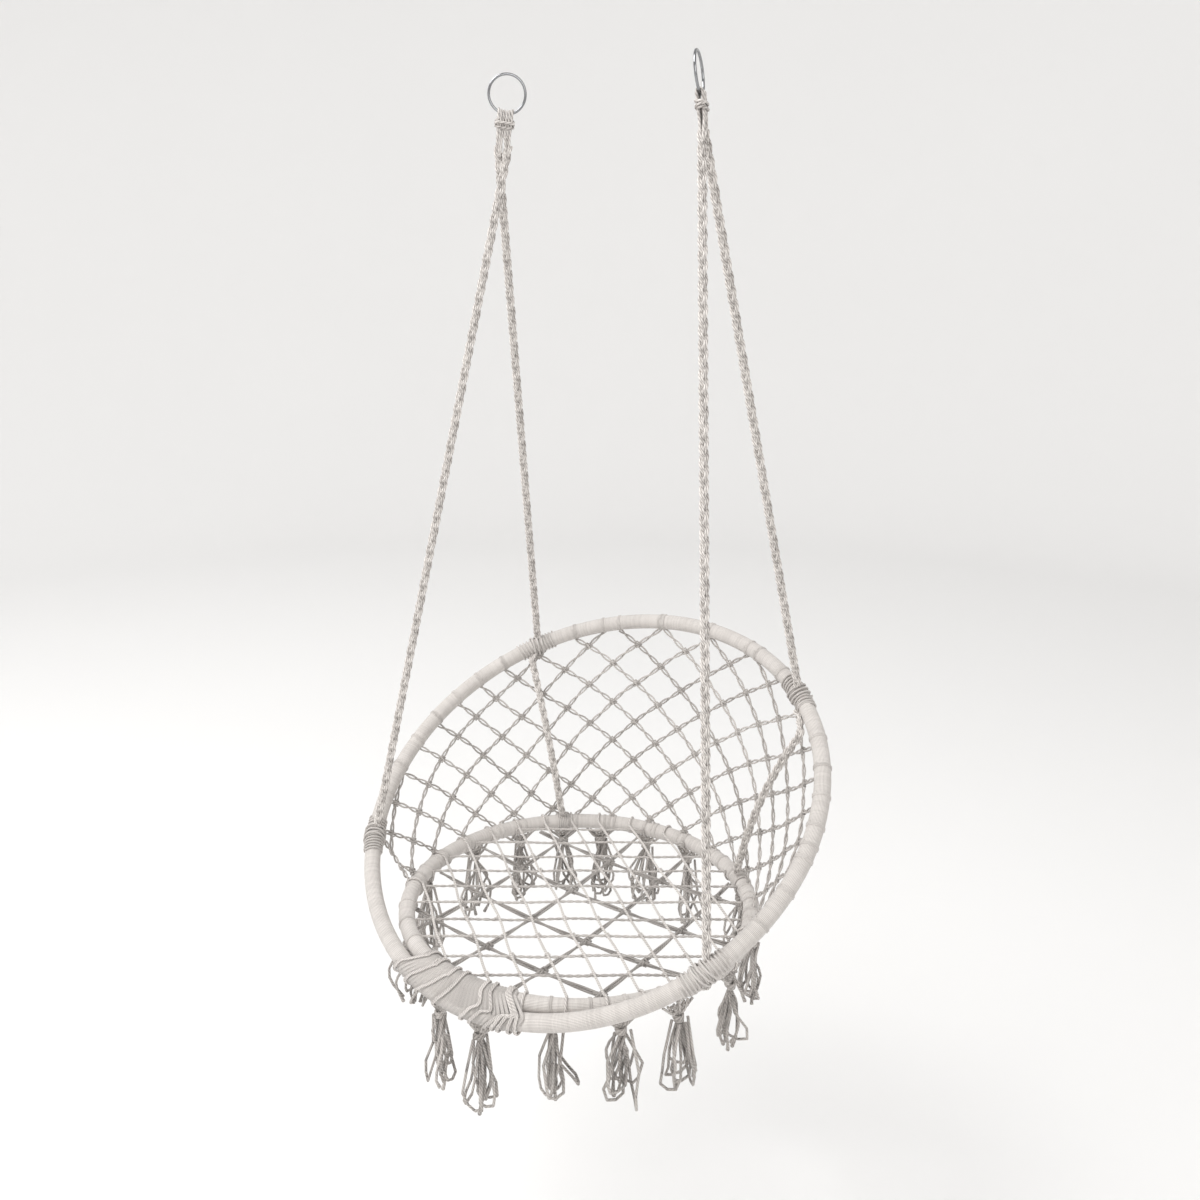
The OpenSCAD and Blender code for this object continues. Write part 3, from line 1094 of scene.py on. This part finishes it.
def build_neck(side):
    """The twelve legs gather below the hitch into the tops of the two ropes."""
    name = SIDE_NAMES[side]
    ply = bpy.context.scene.cord_chair.ropes.ply * 1.05
    ropes = [rope for rope in ROPES.values() if rope[0] == side]
    feet = {end: back_hoop.point(angle) for _, angle, end in ropes}
    wide = along_ring(side)
    through = np.cross(UP, wide)
    rails = Rails()
    for number, x in enumerate(leg_places()):
        end = 1 if x > 0 else -1
        top = rope_top(side, end)
        line = unit(feet[end] - top)
        for face in (-1, 1):
            legs = [leg_point(x, face, "low"), leg_point(x, face, "foot")]
            above, start = transformed(legs, hung_matrix(side))
            spread = (number % 3 - 1) * 2.6 * MM * wide + face * 1.6 * MM * through
            finish = top + spread + line * 6 * MM
            late = top + spread * 0.8 + line * 16 * MM
            rails.add(eased(above, start, finish, late), UP)
    piece = cord_piece(name + "_neck", rails, "Rope cotton", ply, sides=8, seed=7 + side)
    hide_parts(name + "_rope_neck")
    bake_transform(piece)


# ---------------------------------------------------------------- hoops and bindings

# Radians round the hoops at which the lashing's band starts, low on the inner side.
LASHING_FIRST_TURN = 3.6


def build_hoop(name, hoop, node):
    """One hoop's covering of fine cord."""
    sizes = bpy.context.scene.cord_chair.hoops
    values = {
        "Hoop Radius": hoop.radius,
        "Wrap Radius": hoop.wrap,
        "Turns": round(FULL_TURN * hoop.radius / sizes.wound_pitch),
        "Groove": sizes.groove,
        "Sides": 16,
        "Seed": 5,
        "Material": material_for("Wound cotton"),
    }
    piece = grown(name, Rails().mesh("empty"), tree_for("Wound hoop"), values)
    turn = Matrix.Rotation(hoop.tilt, 4, "X")
    piece.data.transform(Matrix.Translation(Vector(hoop.centre)) @ turn)
    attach(piece, "chair")
    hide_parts(node)


def coil(hoop, first, last, turns, reach, lean=0.0, start=0.0):
    """Route of a cord wound round a hoop's tube from one hoop angle to another."""
    share = np.linspace(0, 1, round(turns * 16) + 1)
    turn = start + share * turns * FULL_TURN
    angle = first + (last - first) * share + lean * np.sin(turn)
    return hoop.skin(angle, turn, reach)


def build_whippings():
    """Side by side turns that tie each rope to the back hoop."""
    cord = bpy.context.scene.cord_chair.hoops.binding_cord
    for seed, (name, (first, last, turns)) in enumerate(WHIPPINGS.items()):
        rails = Rails()
        first, last = math.radians(first), math.radians(last)
        reach = back_hoop.wrap + cord * 0.42
        rails.add(coil(back_hoop, first, last, turns, reach, start=1.0), UP)
        middle = (first + last) / 2
        lean = math.radians(0.9)
        rails.add(coil(back_hoop, middle - 0.03, middle + 0.035, 3, reach + cord * 0.8, lean), UP)
        piece = cord_piece(name + "_turns", rails, "Binding cotton", cord, sides=8, seed=seed)
        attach(piece, "chair")
        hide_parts(name)


def build_seat_bindings():
    """Turns that tie each lower rope to the seat hoop."""
    cord = bpy.context.scene.cord_chair.hoops.binding_cord
    for side, rope in (("left", "rear_left_lower_rope"), ("right", "rear_right_lower_rope")):
        node = f"seat_{side}_binding"
        rails = Rails()
        middle, half = LOWER_ROPES[rope][2], math.radians(2.2)
        reach = seat_hoop.wrap + cord * 0.42
        rails.add(coil(seat_hoop, middle - half, middle + half, 6, reach), UP)
        piece = cord_piece(node + "_turns", rails, "Binding cotton", cord, sides=8)
        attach(piece, "chair")
        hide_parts(node)


def round_both_hoops(angle, turn, reach):
    """Point on a band round both tubes: turn 0 is outward, 90 degrees is up."""
    inner, outer = seat_hoop.point(angle), back_hoop.point(angle)
    outward = np.stack([np.sin(angle), np.cos(angle), np.zeros_like(angle)], -1)
    around = np.cos(turn)[:, None] * outward + np.sin(turn)[:, None] * UP
    gap = outer - inner
    facing = np.sum(gap * around, 1) / np.linalg.norm(gap, axis=1)
    towards = smooth_step(0.5 + 8 * facing)
    return inner + towards[:, None] * gap + reach * around


def lashing_tie(top, bottom, reach):
    """One cord round both hoops that leans from its top angle to its bottom angle."""
    turn = np.linspace(0, 1.02 * FULL_TURN, 400)
    middle, lean = (top + bottom) / 2, (top - bottom) / 2
    level = round_both_hoops(np.full(400, middle), turn, reach)
    share = run_length(level) / run_length(level)[-1]
    peak = share[np.argmax(level[:, 2])]
    angle = middle + lean * np.cos(FULL_TURN * (share - peak))
    return resampled(round_both_hoops(angle, turn, reach), 4 * MM)


def lashing_route(first, last, turns, reach, slant):
    """A band that winds round both hoops and leans along them."""
    share = np.linspace(0, 1, round(turns * 72) + 1)
    turn = LASHING_FIRST_TURN + share * turns * FULL_TURN
    angle = first + (last - first) * share - slant * np.sin(turn)
    return resampled(round_both_hoops(angle, turn, reach), 4 * MM)


def build_lashing():
    """The two hoops bound together at the front, with bolder cords over the turns."""
    sizes = bpy.context.scene.cord_chair.hoops
    cord = sizes.binding_cord
    first, last = sizes.lashing_start, sizes.lashing_end
    middle = (first + last) / 2
    along = seat_hoop.along(middle)
    fine = 0.75 * cord
    turns = (last - first) * back_hoop.radius / (3 * 0.92 * fine)
    base = seat_hoop.wrap + fine * 0.5
    rails = Rails()
    rails.add(lashing_route(first, last, turns, base, sizes.lashing_slant), along)
    inner = cord_piece("front_lashing_turns", rails, "Wound cotton", fine, plies=3, seed=4)
    rng = np.random.default_rng(41)
    over = Rails()
    count = 7
    lean = sizes.lashing_slant
    starts = first + (last - first) * (np.arange(count) + rng.uniform(0.3, 0.8, count)) / count
    ties = [
        (start - lean * rng.uniform(0.8, 2.2), start + lean * rng.uniform(0.8, 2.2))
        for start in starts
    ]
    ties += [(first, first + lean * spread) for spread in (0.2, 1.2, 2.6, 4.4)]
    for top, bottom in ties:
        reach = base + cord * rng.uniform(0.85, 1.05)
        over.add(lashing_tie(max(top, first), min(bottom, last), reach), along)
    outer = cord_piece("front_lashing_ties", over, "Loop cotton", cord * 0.9, plies=2, seed=9)
    for piece in (inner, outer):
        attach(piece, "chair")
    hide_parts("front_lashing")


# ---------------------------------------------------------------- back net

NET_PHASE = math.radians(-1.9)
NET_EDGE = math.radians(119)
DIP_ANGLE = math.radians(54)
DIP_WIDTH = math.radians(22)


def net_place(column, row):
    """Hoop angle and height of a place in the net, counted in half meshes."""
    sizes = bpy.context.scene.cord_chair.nets
    angle = NET_PHASE + sizes.column * np.asarray(column, float)
    dip = sizes.dip * np.exp(-(((np.abs(angle) - DIP_ANGLE) / DIP_WIDTH) ** 2))
    rows = np.asarray(row, float)
    return angle, sizes.first_row + sizes.row * rows - dip * smooth_step(rows / 2 + 0.5)


def net_lines():
    """Each cord of the back net: its way, and its run of angles, heights and rows."""
    lines = []
    columns = int(NET_EDGE / bpy.context.scene.cord_chair.nets.column) + 1
    fine = np.linspace(-2, 13, 1501)
    for way in (-1, 1):
        for start in range(-columns - 14, columns + 15):
            angle, up = net_place(start + way * fine, fine)
            room = np.minimum(up, ruling_length(angle) - up) - net_margin(angle, up)
            index = np.flatnonzero((np.abs(angle) < NET_EDGE) & (room > 0))
            if start % 2 and len(index) > 50:
                row = np.linspace(fine[index[0]], fine[index[-1]], 2 + len(index) // 9)
                lines.append((way, *net_place(start + way * row, row), row))
    return lines


def net_margin(angle, up):
    """Distance from a hoop's centreline, along the net, at which a cord meets its winding."""
    line = unit(back_hoop.point(angle) - seat_hoop.point(angle))
    nearer_back = up > ruling_length(angle) / 2
    tube = np.where(nearer_back[..., None], back_hoop.along(angle), seat_hoop.along(angle))
    slant = np.sum(line * tube, -1)
    return (back_hoop.wrap - 1 * MM) / np.sqrt(1 - slant**2)


def net_knots(rng):
    """Middle, width direction and facing of each knot of the back net."""
    columns = int(NET_EDGE / bpy.context.scene.cord_chair.nets.column) + 1
    places, across, facing = [], [], []
    edge = back_hoop.wrap + 5 * MM
    for column in range(-columns, columns + 1):
        for row in range(-1, 13):
            if (column + row) % 2 == 0:
                continue
            angle, up = net_place(column, row)
            if abs(angle) > NET_EDGE or not edge < up < ruling_length(angle) - edge:
                continue
            outward = sheet_outward(angle)
            turn = rng.uniform(-0.4, 0.4)
            level = unit(back_hoop.along(angle) + seat_hoop.along(angle))
            places.append(sheet_point(angle, up))
            across.append(level * math.cos(turn) + np.cross(outward, level) * math.sin(turn))
            facing.append(outward)
    return places, across, facing


def build_back_net():
    """Doubled cords in diamonds, knotted where they cross and hitched to both hoops."""
    sizes = bpy.context.scene.cord_chair.nets
    rng = np.random.default_rng(17)
    rails, hitches = Rails(), Rails()
    reach = back_hoop.wrap - sizes.cord * 0.05
    for way, angle, up, row in net_lines():
        sway = 1.5 * MM * np.sin(math.pi * row) * rng.uniform(-1, 1)
        outward = sheet_outward(angle)
        flat = sheet_point(angle, up)
        side = unit(np.cross(outward, np.gradient(flat, axis=0)))
        points = flat + side * sway[:, None] + outward * way * 0.8 * MM
        rails.add(points, side * (1.0 if way < 0 else 0.8), lay=row - 0.25)
        for hoop, place in ((seat_hoop, angle[0]), (back_hoop, angle[-1])):
            near = np.linalg.norm(points - hoop.point(place), axis=1).min()
            if near < hoop.wrap + 4 * MM:
                half = math.radians(0.35) + rng.uniform(0, 0.002)
                hitches.add(coil(hoop, place - half, place + half, 2.1, reach, start=2.0), UP)
    for edge in (-NET_EDGE, NET_EDGE):
        up = np.linspace(net_margin(edge, np.array(0.0)), ruling_length(edge) - 13 * MM, 40)
        angles = np.full(40, edge)
        rails.add(sheet_point(angles, up), back_hoop.along(edge) * 1.3, lay=up / (30 * MM))
    net = cord_piece(
        "back_net_cords", rails, "Net cotton", sizes.cord, strands=2,
        half_width=3.0 * MM, half_depth=1.6 * MM, seed=12,
    )
    ties = cord_piece("net_hitches", hitches, "Binding cotton", sizes.cord, seed=13)
    values = {"Knot Radius": 5.4 * MM, "Ply Diameter": 3.4 * MM}
    values["Material"] = material_for("Net cotton")
    knots = grown("back_net_knots", knot_points(*net_knots(rng)), tree_for("Placed knots"), values)
    for piece, slot in ((net, "net_cotton"), (ties, "binding_cotton"), (knots, "net_cotton")):
        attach(piece, "chair")
    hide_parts("back_net")
    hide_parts("back_net_hitches")


# ---------------------------------------------------------------- seat nets

# Radius of the space inside the seat hoop, and the height of the lower net at its edge.
SEAT_OPENING = seat_hoop.radius - seat_hoop.wrap - 1 * MM
UNDER_HEIGHT = -10 * MM
# Hitches round the whole seat hoop, and the angle beyond which the lashing takes their place.
SEAT_HITCHES = 32
LAST_HITCH_DEGREES = 155


def chord_ends(normal, offset, radius):
    """Hoop angles of the two ends of a straight cord across a hoop."""
    half = math.acos(max(-1.0, min(1.0, offset / radius)))
    return normal - half, normal + half


def round_the_hoop(angle, start, end, reach):
    """A cord's end, wound round the seat hoop from one turn to another."""
    turn = np.linspace(start, end, 14)
    return seat_hoop.skin(np.full(14, angle), turn, reach)


def straight_cord(first, last, height, sag=0.0, sway=0.0):
    """Across the seat from one hoop angle to another, at a height over the hoop's plane."""
    ends = [SEAT_OPENING * seat_hoop.outward(a) for a in (first, last)]
    share = np.linspace(0, 1, 60)[:, None]
    flat = ends[0] * (1 - share) + ends[1] * share
    aside = np.cross(UP, unit(ends[1] - ends[0]))
    span = np.linalg.norm(ends[1] - ends[0])
    flat = flat + aside * sway * np.sin(share * math.pi) * np.sin(share * span / (33 * MM))
    distance = np.linalg.norm(flat, axis=1) / SEAT_OPENING
    level = height - sag * (1 - distance**2)
    return seat_hoop.centre + flat + level[:, None] * UP


def build_upper_seat_net():
    """Two sets of single cords that cross in long diamonds and loop over the hoop."""
    sizes = bpy.context.scene.cord_chair.nets
    reach = seat_hoop.wrap + sizes.seat_cord * 0.5
    rng = np.random.default_rng(23)
    lower, upper = Rails(), Rails()
    offsets = {}
    for side, shift, height, rails in (
        (-1, -12 * MM, 4.1 * MM, lower),
        (1, 9 * MM, 7.0 * MM, upper),
    ):
        normal = side * sizes.seat_slant
        start, end = (-1.2, 2.6) if side > 0 else (4.9, 3.3)
        offsets[side] = []
        for number in range(-5, 6):
            offset = shift + number * sizes.seat_pitch + rng.uniform(-2, 2) * MM
            if abs(offset) > SEAT_OPENING * 0.95:
                continue
            first, last = chord_ends(normal, offset, SEAT_OPENING)
            offsets[side].append(offset)
            sway = rng.uniform(1.5, 3.2) * MM
            route = np.concatenate(
                [
                    round_the_hoop(first, start, end, reach),
                    straight_cord(first, last, height, sway=sway),
                    round_the_hoop(last, end, start, reach),
                ]
            )
            route = resampled(route, 3.5 * MM)
            across = unit(np.cross(UP, route[len(route) // 3] - route[-len(route) // 3]))
            rails.add(route, across, lay=run_length(route) / (26 * MM))
    # The lower set takes the darker net colour and the top set the lighter winding colour: painted
    # shade on the lower cords, which lie under the top set.
    net = cord_piece(
        "upper_seat_net", lower, "Net cotton", sizes.seat_cord * 0.72, strands=2,
        half_width=sizes.seat_cord * 0.38, half_depth=0.4 * MM, seed=21,
    )
    light = cord_piece("upper_seat_loops", upper, "Loop cotton", sizes.seat_cord, sides=8, seed=22)
    points = seat_crossings(offsets[-1], offsets[1], sizes.seat_slant)
    values = {"Knot Radius": 3.6 * MM, "Ply Diameter": 2.8 * MM}
    values["Material"] = material_for("Loop cotton")
    knots = grown("upper_seat_knots", points, tree_for("Placed knots"), values)
    for piece in (net, light, knots):
        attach(piece, "chair")
    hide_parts("seat_net_top")


def seat_crossings(first, second, slant):
    """Knot points where the two sets of the upper seat net cross."""
    solve = np.linalg.inv([[-math.sin(slant), math.cos(slant)], [math.sin(slant), math.cos(slant)]])
    flat = [solve @ (a, b) for a in first for b in second]
    places = [
        seat_hoop.centre + (x, y, 5.8 * MM)
        for x, y in flat
        if math.hypot(x, y) < SEAT_OPENING - 10 * MM
    ]
    along = (math.cos(slant), -math.sin(slant), 0)
    return knot_points(places, [along] * len(places), [(0, 0, 1)] * len(places))


def build_lower_seat_net():
    """A coarse square net of doubled cords with a knot at each crossing."""
    sizes = bpy.context.scene.cord_chair.nets
    rails = Rails()
    pitch = sizes.under_pitch
    starts = {0: -57 * MM, 1: -60 * MM}
    lines = {}
    for way, start in starts.items():
        offsets = [start + pitch * number for number in range(-2, 4)]
        lines[way] = [offset for offset in offsets if abs(offset) < SEAT_OPENING]
    for way, offsets in lines.items():
        for offset in offsets:
            normal = math.pi / 2 if way == 0 else 0.0
            first, last = chord_ends(normal, offset, SEAT_OPENING)
            cord = straight_cord(first, last, UNDER_HEIGHT, sizes.under_sag)
            route = resampled(cord, 3.5 * MM)
            flat = route - seat_hoop.centre
            place = (flat[:, 1 if way == 0 else 0] - starts[1 - way]) / pitch
            across = unit(np.cross(UP, route[-1] - route[0]))
            rails.add(route, across, lay=place * 0.5 - 0.25)
    # Its cords and knots take the net cord's colour darkened, as painted shade under the seat.
    net = cord_piece(
        "lower_seat_net", rails, "Lower net cotton", sizes.seat_cord, strands=2,
        half_width=2.0 * MM, half_depth=1.9 * MM, seed=31,
    )
    places = []
    for x in lines[0]:
        for y in lines[1]:
            share = math.hypot(x, y) / SEAT_OPENING
            if share < 0.95:
                height = UNDER_HEIGHT - sizes.under_sag * (1 - share**2)
                places.append(seat_hoop.centre + (x, y, height))
    count = len(places)
    points = knot_points(places, [(0.7, 0.7, 0)] * count, [(0, 0, 1)] * count)
    values = {"Knot Radius": 7.5 * MM, "Ply Diameter": 4.4 * MM}
    values["Material"] = material_for("Lower net cotton")
    knots = grown("lower_seat_knots", points, tree_for("Placed knots"), values)
    for piece in (net, knots):
        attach(piece, "chair")
    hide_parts("seat_net_under")


def build_seat_hitches():
    """Hitches of the nets round the seat hoop, clear of the front lashing."""
    cord = bpy.context.scene.cord_chair.nets.cord
    reach = seat_hoop.wrap - cord * 0.05
    rng = np.random.default_rng(29)
    rails = Rails()
    for number in range(SEAT_HITCHES):
        even = math.radians(360 / SEAT_HITCHES * (number + 0.5) - 180)
        angle = even + rng.uniform(-0.02, 0.02)
        if abs(math.degrees(angle)) < LAST_HITCH_DEGREES:
            half = math.radians(0.55)
            rails.add(coil(seat_hoop, angle - half, angle + half, 2.2, reach, start=4.0), UP)
    piece = cord_piece("seat_hitches", rails, "Binding cotton", cord, seed=33)
    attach(piece, "chair")
    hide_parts("seat_hoop_hitches")


# ---------------------------------------------------------------- tassels

# A tassel's crown: its cords, half their width on the hoop in millimetres, and the knot's drop.
CROWN_CORDS = 7
CROWN_HALF_WIDTH = 27
KNOT_DROP = 19 * MM


def tassel_joints():
    """Hinge of each tassel, in order."""
    found = [j for j in frame["joints"] if j["name"].startswith("tassel_")]
    return sorted(found, key=lambda joint: joint["name"])


def build_tassel(number, joint):
    """Cords from the hoop, a gathering knot, and the loose ends below it."""
    sizes = bpy.context.scene.cord_chair.tassels
    rng = np.random.default_rng(100 + number)
    hinge = np.array(joint["pos_m"])
    axis = np.array(joint["axis"])
    node = joint["child"].replace("hung_", "")
    knot = hinge - UP * KNOT_DROP
    rails = Rails()
    outward = np.cross(axis, UP)
    places = np.linspace(-CROWN_HALF_WIDTH, CROWN_HALF_WIDTH, CROWN_CORDS) * MM
    for place in places + rng.uniform(-2, 2, CROWN_CORDS) * MM:
        lift = rng.uniform(1, 5) * MM
        top = hinge + axis * place + UP * lift
        middle = (top * 0.4 + knot * 0.6) + outward * rng.uniform(-4, 4) * MM
        middle = middle + axis * place * 0.12
        bend = resampled([top, middle, knot + axis * place * 0.12], 3 * MM)
        rails.add(bend, axis, lay=run_length(bend) / (16 * MM))
    for level in (0.3, 0.62):
        width = 23 * MM * (1 - level)
        row = hinge + UP * 2 * MM + (knot - hinge) * level
        share = np.linspace(-1, 1, 22)[:, None]
        zigzag = 2.2 * MM * np.sin(share * 9.4 + level * 5)
        rails.add(row + axis * width * share + (outward + UP) * zigzag, UP)
    turn = np.linspace(0, 3 * FULL_TURN, 44)
    rise = np.linspace(5, -5, 44) + 1.4 * np.sin(turn)
    around = np.cos(turn)[:, None] * axis + np.sin(turn)[:, None] * outward
    rails.add(knot + 7.0 * MM * around + rise[:, None] * MM * UP, UP)
    crown = cord_piece(node + "_crown", rails, "Tassel cotton", sizes.ply, seed=number)
    start = knot - UP * 3 * MM
    stem = Rails()
    stem.add(np.broadcast_to(start, (72, 3)) - np.linspace(0, 1, 72)[:, None] * UP * 1e-6, UP)
    values = {
        "Cords": sizes.cords,
        "Drop": sizes.drop * float(rng.uniform(0.82, 1.04)),
        "Spread": sizes.spread * float(rng.uniform(0.7, 1.05)),
        "Kink": sizes.kink,
        "Folded Share": sizes.folded,
        "Ply Diameter": sizes.ply,
        "Sides": 6,
        "Seed": 50 + number,
        "Material": material_for("Tassel cotton"),
    }
    ends = grown(node + "_ends", stem.mesh("stem"), tree_for("Tassel"), values)
    for piece in (crown, ends):
        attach(piece, joint["child"])
    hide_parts(node)


# ---------------------------------------------------------------- stage


def build_camera(stage):
    """Looks down at the chair from its front right."""
    turn, dip, roll = stage.camera_turn, stage.camera_dip, stage.camera_roll
    back = Vector(
        (math.sin(turn) * math.cos(dip), -math.cos(turn) * math.cos(dip), math.sin(dip))
    )
    level = Vector((math.cos(turn), math.sin(turn), 0))
    rise = back.cross(level)
    right = level * math.cos(roll) + rise * math.sin(roll)
    above = rise * math.cos(roll) - level * math.sin(roll)
    data = bpy.data.cameras.new("Camera")
    data.sensor_width = 36
    data.lens = stage.lens
    camera = bpy.data.objects.new("Camera", data)
    camera.matrix_world = Matrix.Translation(stage.camera_place) @ Matrix(
        (right, above, back)
    ).transposed().to_4x4()
    bpy.context.scene.collection.objects.link(camera)
    bpy.context.scene.camera = camera


def build_floor(height):
    """A pale floor that curves up into a round wall."""
    radius, bend, top, sides, steps = 7.0, 1.5, 6.0, 96, 12
    profile = [(0.0001, 0.0)] + [
        (radius - bend + bend * math.sin(t), bend - bend * math.cos(t))
        for t in np.linspace(0, math.pi / 2, steps)
    ] + [(radius, top)]
    points = [
        (r * math.cos(a), r * math.sin(a), height + z)
        for r, z in profile
        for a in np.linspace(0, FULL_TURN, sides, endpoint=False)
    ]
    index = np.arange(len(points)).reshape(-1, sides)
    inner, outer = index[:-1], index[1:]
    faces = np.stack([inner, outer, np.roll(outer, -1, 1), np.roll(inner, -1, 1)], -1)
    mesh = bpy.data.meshes.new("studio_floor")
    mesh.from_pydata(points, [], faces.reshape(-1, 4).tolist())
    mesh.polygons.foreach_set("use_smooth", [True] * len(mesh.polygons))
    mesh.materials.append(material_for("Studio floor"))
    floor = bpy.data.objects.new("studio_floor", mesh)
    bpy.context.scene.collection.objects.link(floor)


def build_light(name, place, target, size, power):
    data = bpy.data.lights.new(name, "AREA")
    data.shape = "DISK"
    data.size = size
    data.energy = power
    light = bpy.data.objects.new(name, data)
    light.location = place
    aim = Vector(target) - Vector(place)
    light.rotation_euler = aim.to_track_quat("-Z", "Y").to_euler()
    bpy.context.scene.collection.objects.link(light)


def build_world(strength):
    """Even soft light from all round."""
    world = bpy.data.worlds.new("Studio")
    world.use_nodes = True
    background = world.node_tree.nodes["Background"]
    background.inputs["Color"].default_value = (1.0, 0.995, 0.985, 1.0)
    background.inputs["Strength"].default_value = strength
    bpy.context.scene.world = world
    bpy.context.scene.view_settings.view_transform = "Standard"


# ---------------------------------------------------------------- operators and panel


class CORDCHAIR_OT_stage(bpy.types.Operator):
    """Makes the camera, the lights and the pale studio floor"""

    bl_idname = "cord_chair.stage"
    bl_label = "Stage"

    def execute(self, context):
        stage = context.scene.cord_chair.stage
        build_camera(stage)
        build_floor(stage.floor_height)
        build_world(stage.sky)
        seat = (0.0, 0.0, -1.0)
        build_light("key", (-2.0, -2.2, 3.4), seat, 3.4, stage.key_power)
        build_light("fill", (3.6, -3.2, 1.2), seat, 3.0, stage.key_power * 0.3)
        return {"FINISHED"}


class CORDCHAIR_OT_ropes(bpy.types.Operator):
    """Plaits the four hanging ropes and the two lower ropes"""

    bl_idname = "cord_chair.ropes"
    bl_label = "Ropes"

    def execute(self, context):
        build_ropes()
        return {"FINISHED"}


class CORDCHAIR_OT_rings(bpy.types.Operator):
    """Makes both rings, with the hitches and necks below them"""

    bl_idname = "cord_chair.rings"
    bl_label = "Rings and hitches"

    def execute(self, context):
        for side in (-1, 1):
            build_ring(side)
            build_ring_hitch(side)
            build_neck(side)
        return {"FINISHED"}


class CORDCHAIR_OT_hoops(bpy.types.Operator):
    """Winds both hoops with fine cord and paints their tubes"""

    bl_idname = "cord_chair.hoops"
    bl_label = "Hoops"

    def execute(self, context):
        build_hoop("back_hoop_winding", back_hoop, "back_hoop_wrap")
        build_hoop("seat_hoop_winding", seat_hoop, "seat_hoop_wrap")
        for node in ("back_hoop_tube", "seat_hoop_tube"):
            tube = frame["nodes"][node]
            tube.data.materials.clear()
            tube.data.materials.append(material_for("Primed tube"))
        return {"FINISHED"}


class CORDCHAIR_OT_bindings(bpy.types.Operator):
    """Ties the ropes to the hoops and lashes the hoops together"""

    bl_idname = "cord_chair.bindings"
    bl_label = "Bindings"

    def execute(self, context):
        build_whippings()
        build_seat_bindings()
        build_lashing()
        return {"FINISHED"}


class CORDCHAIR_OT_back_net(bpy.types.Operator):
    """Knots the back net between the hoops"""

    bl_idname = "cord_chair.back_net"
    bl_label = "Back net"

    def execute(self, context):
        build_back_net()
        return {"FINISHED"}


class CORDCHAIR_OT_seat_nets(bpy.types.Operator):
    """Strings both seat nets and their hitches"""

    bl_idname = "cord_chair.seat_nets"
    bl_label = "Seat nets"

    def execute(self, context):
        build_upper_seat_net()
        build_lower_seat_net()
        build_seat_hitches()
        return {"FINISHED"}


class CORDCHAIR_OT_tassels(bpy.types.Operator):
    """Hangs a tassel on each tassel hinge"""

    bl_idname = "cord_chair.tassels"
    bl_label = "Tassels"

    def execute(self, context):
        for number, joint in enumerate(tassel_joints()):
            build_tassel(number, joint)
        return {"FINISHED"}


class CORDCHAIR_PT_panel(bpy.types.Panel):
    """Lists the chair's pieces and their sizes"""

    bl_idname = "CORDCHAIR_PT_panel"
    bl_label = "Cord chair"
    bl_space_type = "VIEW_3D"
    bl_region_type = "UI"
    bl_category = "Cord chair"

    def draw(self, context):
        settings = context.scene.cord_chair
        groups = ("hoops", "ropes", "nets", "tassels", "colours", "stage")
        for group in groups:
            box = self.layout.box()
            box.label(text=group.capitalize())
            values = getattr(settings, group)
            for name in values.__annotations__:
                box.prop(values, name)
        for operator in OPERATORS:
            self.layout.operator(operator.bl_idname)


GROUPS = (HoopSizes, RopeSizes, NetSizes, TasselSizes, Colours, StageSizes, ChairSettings)
OPERATORS = (
    CORDCHAIR_OT_stage,
    CORDCHAIR_OT_ropes,
    CORDCHAIR_OT_rings,
    CORDCHAIR_OT_hoops,
    CORDCHAIR_OT_bindings,
    CORDCHAIR_OT_back_net,
    CORDCHAIR_OT_seat_nets,
    CORDCHAIR_OT_tassels,
)


def register():
    for cls in (*GROUPS, *OPERATORS, CORDCHAIR_PT_panel):
        bpy.utils.register_class(cls)
    bpy.types.Scene.cord_chair = bpy.props.PointerProperty(type=ChairSettings)


def unregister():
    del bpy.types.Scene.cord_chair
    for cls in reversed((*GROUPS, *OPERATORS, CORDCHAIR_PT_panel)):
        bpy.utils.unregister_class(cls)


def main():
    """Builds every piece in order."""
    register()
    for operator in OPERATORS:
        area, action = operator.bl_idname.split(".")
        getattr(getattr(bpy.ops, area), action)()


if __name__ == "__main__":
    main()
